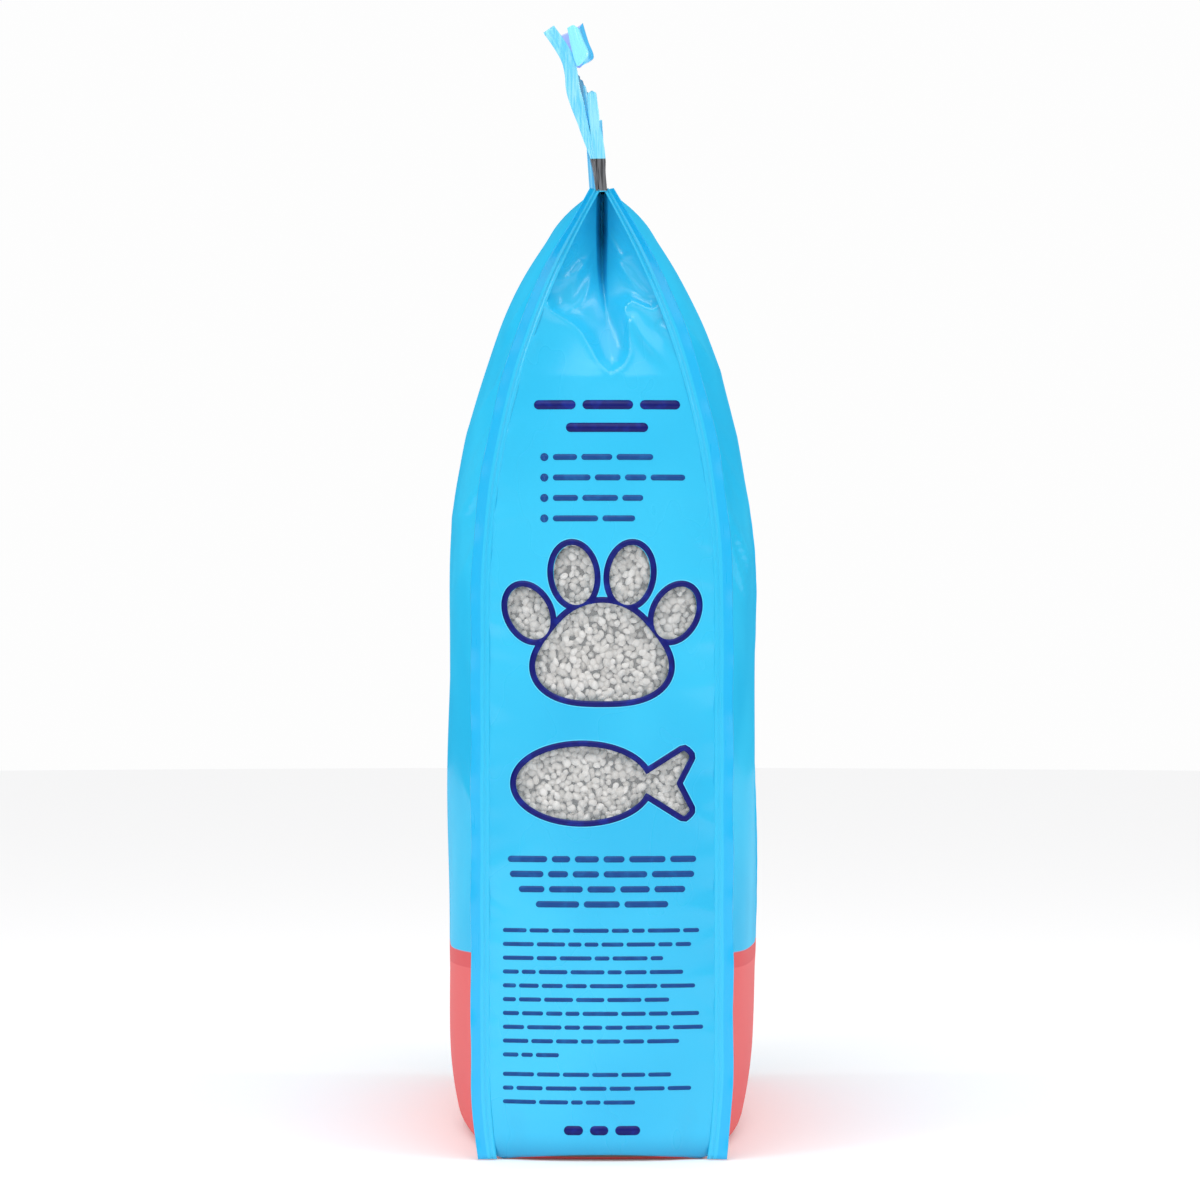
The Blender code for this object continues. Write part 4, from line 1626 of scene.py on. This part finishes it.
@dataclass
class Studio:
    """A pale floor, soft lights and the camera."""

    lamps: tuple[Lamp, ...] = (
        Lamp("key_left", (-1.5, -1.5, 1.35), (0, 0, 0.32), (0.45, 0.8), 6.5),
        Lamp("key_right", (1.6, -1.3, 1.1), (0, 0, 0.32), (0.40, 0.8), 4.0),
        Lamp("overhead", (-0.1, -0.9, 1.9), (0, 0, 0.35), (0.8, 0.4), 3.0),
        Lamp("strip_left", (-1.0, 0.1, 0.6), (0, 0.0, 0.35), (0.07, 0.7), 1.6),
        Lamp("strip_right", (1.0, 0.1, 0.6), (0, 0.0, 0.35), (0.07, 0.7), 1.6),
    )
    world_light: float = 0.50
    world_gloss: float = 0.20
    world_seen: float = 0.985
    sun_strength: float = 1.45
    sun_angle: float = math.radians(75)
    sun_turn: tuple[float, float, float] = (math.radians(28), 0.0, 0.0)
    camera_place: tuple[float, float, float] = (-0.001, -2.1725, 0.28)
    lens: float = 120.0

    def world(self) -> None:
        """A white surround, dimmer in reflections, as black flags beside a set would make it."""
        world = bpy.data.worlds.new("studio")
        world.use_nodes = True
        bpy.context.scene.world = world
        nodes, links = world.node_tree.nodes, world.node_tree.links
        path = nodes.new("ShaderNodeLightPath")
        strength = self.world_light
        for ray, level in (("Is Glossy Ray", self.world_gloss), ("Is Camera Ray", self.world_seen)):
            mix = nodes.new("ShaderNodeMix")
            links.new(path.outputs[ray], mix.inputs[0])
            if isinstance(strength, float):
                mix.inputs[2].default_value = strength
            else:
                links.new(strength, mix.inputs[2])
            mix.inputs[3].default_value = level
            strength = mix.outputs[0]
        links.new(strength, nodes["Background"].inputs["Strength"])
        nodes["Background"].inputs["Color"].default_value = (1, 1, 1, 1)

    def sun(self) -> None:
        """A wide, soft light from above, which lies evenly on the whole floor."""
        data = bpy.data.lights.new("soft_top", "SUN")
        data.energy = self.sun_strength
        data.angle = self.sun_angle
        lamp = bpy.data.objects.new("soft_top", data)
        lamp.rotation_euler = self.sun_turn
        bpy.context.scene.collection.objects.link(lamp)

    def floor(self) -> None:
        """The pale floor."""
        graph = ShaderGraph("pale_floor")
        cloud = graph.noise(3.0, 2.0)
        material = graph.principled(
            Base_Color=(0.94, 0.94, 0.945),
            Roughness=0.5 + cloud * 0.04,
            Specular_IOR_Level=0.0,
            Emission_Color=(1.0, 1.0, 1.0),
            Emission_Strength=0.06,
        )
        bm = bmesh.new()
        bmesh.ops.create_circle(bm, cap_ends=True, radius=4.5, segments=96)
        mesh = bpy.data.meshes.new("studio_floor")
        bm.to_mesh(mesh)
        bm.free()
        mesh.materials.append(material)
        floor = bpy.data.objects.new("studio_floor", mesh)
        bpy.context.scene.collection.objects.link(floor)

    def camera(self) -> None:
        """The camera, level and square to the window side."""
        data = bpy.data.cameras.new("camera")
        data.lens = self.lens
        data.sensor_width = 36.0
        camera = bpy.data.objects.new("camera", data)
        camera.location = self.camera_place
        camera.rotation_euler = (math.pi / 2, 0, 0)
        bpy.context.scene.collection.objects.link(camera)
        bpy.context.scene.camera = camera

    def build(self) -> None:
        """Sets up the studio."""
        bpy.context.scene.view_settings.view_transform = "Standard"
        self.world()
        self.sun()
        self.floor()
        for lamp in self.lamps:
            lamp.build()
        self.camera()


# ---------------------------------------------------------------------- folds


def window_side_creases() -> tuple[Crease, ...]:
    """The folds of the -Y gusset's shoulder, in x and z."""
    mm = MM

    def fold(points: Sequence[Point2], height: float, width: float, **more: float) -> Crease:
        """A crease from points in millimetres."""
        return Crease(tuple((x * mm, z * mm) for x, z in points), height * mm, width * mm, **more)

    return (
        fold([(-28.5, 433.5), (-26, 424.5), (-14.5, 418), (-9.5, 413), (-1.8, 399), (4.5, 392.8)], 0.8, 2.2, fade_end=0.05),
        fold([(4.5, 392.8), (11, 397.5), (14.2, 405.2), (13.5, 415.5), (11, 427)], 0.9, 2.0, fade_start=0.05),
        fold([(11, 427), (14.8, 429.5), (25, 425), (30.8, 429.5)], 1.0, 1.8),
        fold([(0, 462), (1.5, 432), (4.2, 402)], -2.2, 5.5, sharpness=1.2, fade_start=0.3),
        fold([(-9, 452), (-15, 436), (-17, 424)], 1.0, 3.2, fade_end=0.6),
        fold([(13, 424), (22, 410), (35, 395)], 1.8, 3.2, fade_end=0.6),
        fold([(2.6, 466.5), (6, 459), (11, 457.5 - 5), (20, 452.5)], 1.2, 1.7),
        fold([(7, 452), (15, 440), (22, 433.5), (30, 431)], 1.3, 2.0),
        fold([(-26, 439.5), (-19, 441), (-9.5, 447.5), (-4, 458)], 1.2, 2.2),
        fold([(-30, 430), (-22, 424), (-10, 430), (-3, 452)], 0.8, 2.4),
        fold([(31, 418), (38, 405), (41, 392)], 0.9, 3.2),
        fold([(-33, 414), (-39, 400), (-43, 385)], 0.8, 3.4),
        fold([(-4, 399), (-7, 385), (-6, 372)], 0.5, 5.0, fade_end=0.8),
        fold([(34, 424), (27, 417), (33, 408)], -0.9, 3.0),
    )


def bib_outline() -> Array:
    """The drawn-in part of the -Y gusset's shoulder, in x and z."""
    points = (
        (-28.5, 433.5), (-26, 424.5), (-14.5, 418), (-9.5, 413), (-1.8, 399), (4.5, 392.8), (11, 397.5), (14.2, 405.2),
        (13.5, 415.5), (11, 427), (14.8, 429.5), (25, 425), (30.8, 429.5), (24, 450), (12, 474), (0, 500), (-12, 474),
        (-22, 450),
    )
    return to_array(points) * MM


def shoulder_folds(seed: int) -> list[Crease]:
    """The broad panels' folds beside one seam: drapes in the shoulder, then short puckers to the floor."""
    draw = np.random.default_rng(seed)
    made = puckers(seed, 0.035, 0.320, 17 * MM, (22 * MM, 60 * MM), 1.25 * MM)
    z = 0.320
    while z < 0.462:
        length = draw.uniform(70, 150) * MM
        drop = draw.uniform(0.12, 0.36) * length
        bend = draw.uniform(1.0, 5.0) * MM
        line = ((0.0, z), (length * 0.35, z - drop * 0.55 - bend), (length * 0.7, z - drop * 0.9 - bend), (length, z - drop))
        tall = draw.uniform(2.2, 4.2) * MM * (1 if draw.random() < 0.7 else -0.6)
        made.append(Crease(line, tall, draw.uniform(4.0, 7.5) * MM, 1.3, 0.02, 0.80))
        z += draw.uniform(9, 17) * MM
    return made


def build_form() -> BagForm:
    """The bag's form with all its folds."""
    return BagForm(
        bib=bib_outline(),
        gusset_creases=window_side_creases(),
        rear_creases=tuple(
            Crease(tuple((-x * 0.9, z + 2 * MM) for x, z in crease.line), crease.height, crease.width * 1.2)
            for crease in window_side_creases()[:9]
        ),
        panel_creases={
            side: {end: shoulder_folds(100 + 10 * side.value + end) for end in (-1, 1)} for side in Side
        },
    )


def main() -> None:
    """Builds the bag, piece by piece, then the studio."""
    logging.basicConfig(level=logging.INFO, format="%(message)s")
    form = build_form()
    ribs = rib_recipe()
    gusset_film = GlossFilm("gusset_film").build()
    panel_film = GlossFilm("panel_film", foot=(0.780, 0.120, 0.125), gloss=0.0, coat=0.18).build()
    fin_film = FinFilm("fin_film", band_low=490 * MM, band_high=495 * MM).build()
    FilmBody(form).build(gusset_film, panel_film)
    CornerFins(form).build(fin_film, ribs)
    Header(form).build(
        FinFilm("header_edge_film", flat_share=2.0).build(),
        HeaderFilm("header_film", (0.055, 0.500, 0.880), (0.015, 0.390, 0.810)).build(),
        # The flap's film glows as painted light, and its faces take painted lit and shaded tones.
        HeaderFilm("header_flap_film", lilac=(0.46, 0.52, 0.98), glow=0.22).build(),
        ribs,
    )
    WindowTrim(form).build(
        Ink("rim_ink").build(), Ink("rim_surround", (0.10, 0.68, 0.97), (0.08, 0.62, 0.95)).build(), ClearFilm("clear").build()
    )
    bold = Ink("text_ink_bold", (0.0010, 0.0040, 0.140)).build()
    plain = Ink("text_ink_plain", (0.0020, 0.060, 0.260), (0.004, 0.10, 0.34)).build()
    Print(form).build({"title": bold, "points": plain, "claim": plain, "notes": plain, "care": plain, "size": bold})
    # Painted shade: the bed's clay is far darker than the crumbs', standing for the deeper, shaded litter between and
    # behind them.
    Litter(form).build(Clay("clay_bed", (0.30, 0.27, 0.24), (0.16, 0.14, 0.12)).build(), Clay("clay_crumbs").build())
    Studio().build()


if __name__ == "__main__":
    main()
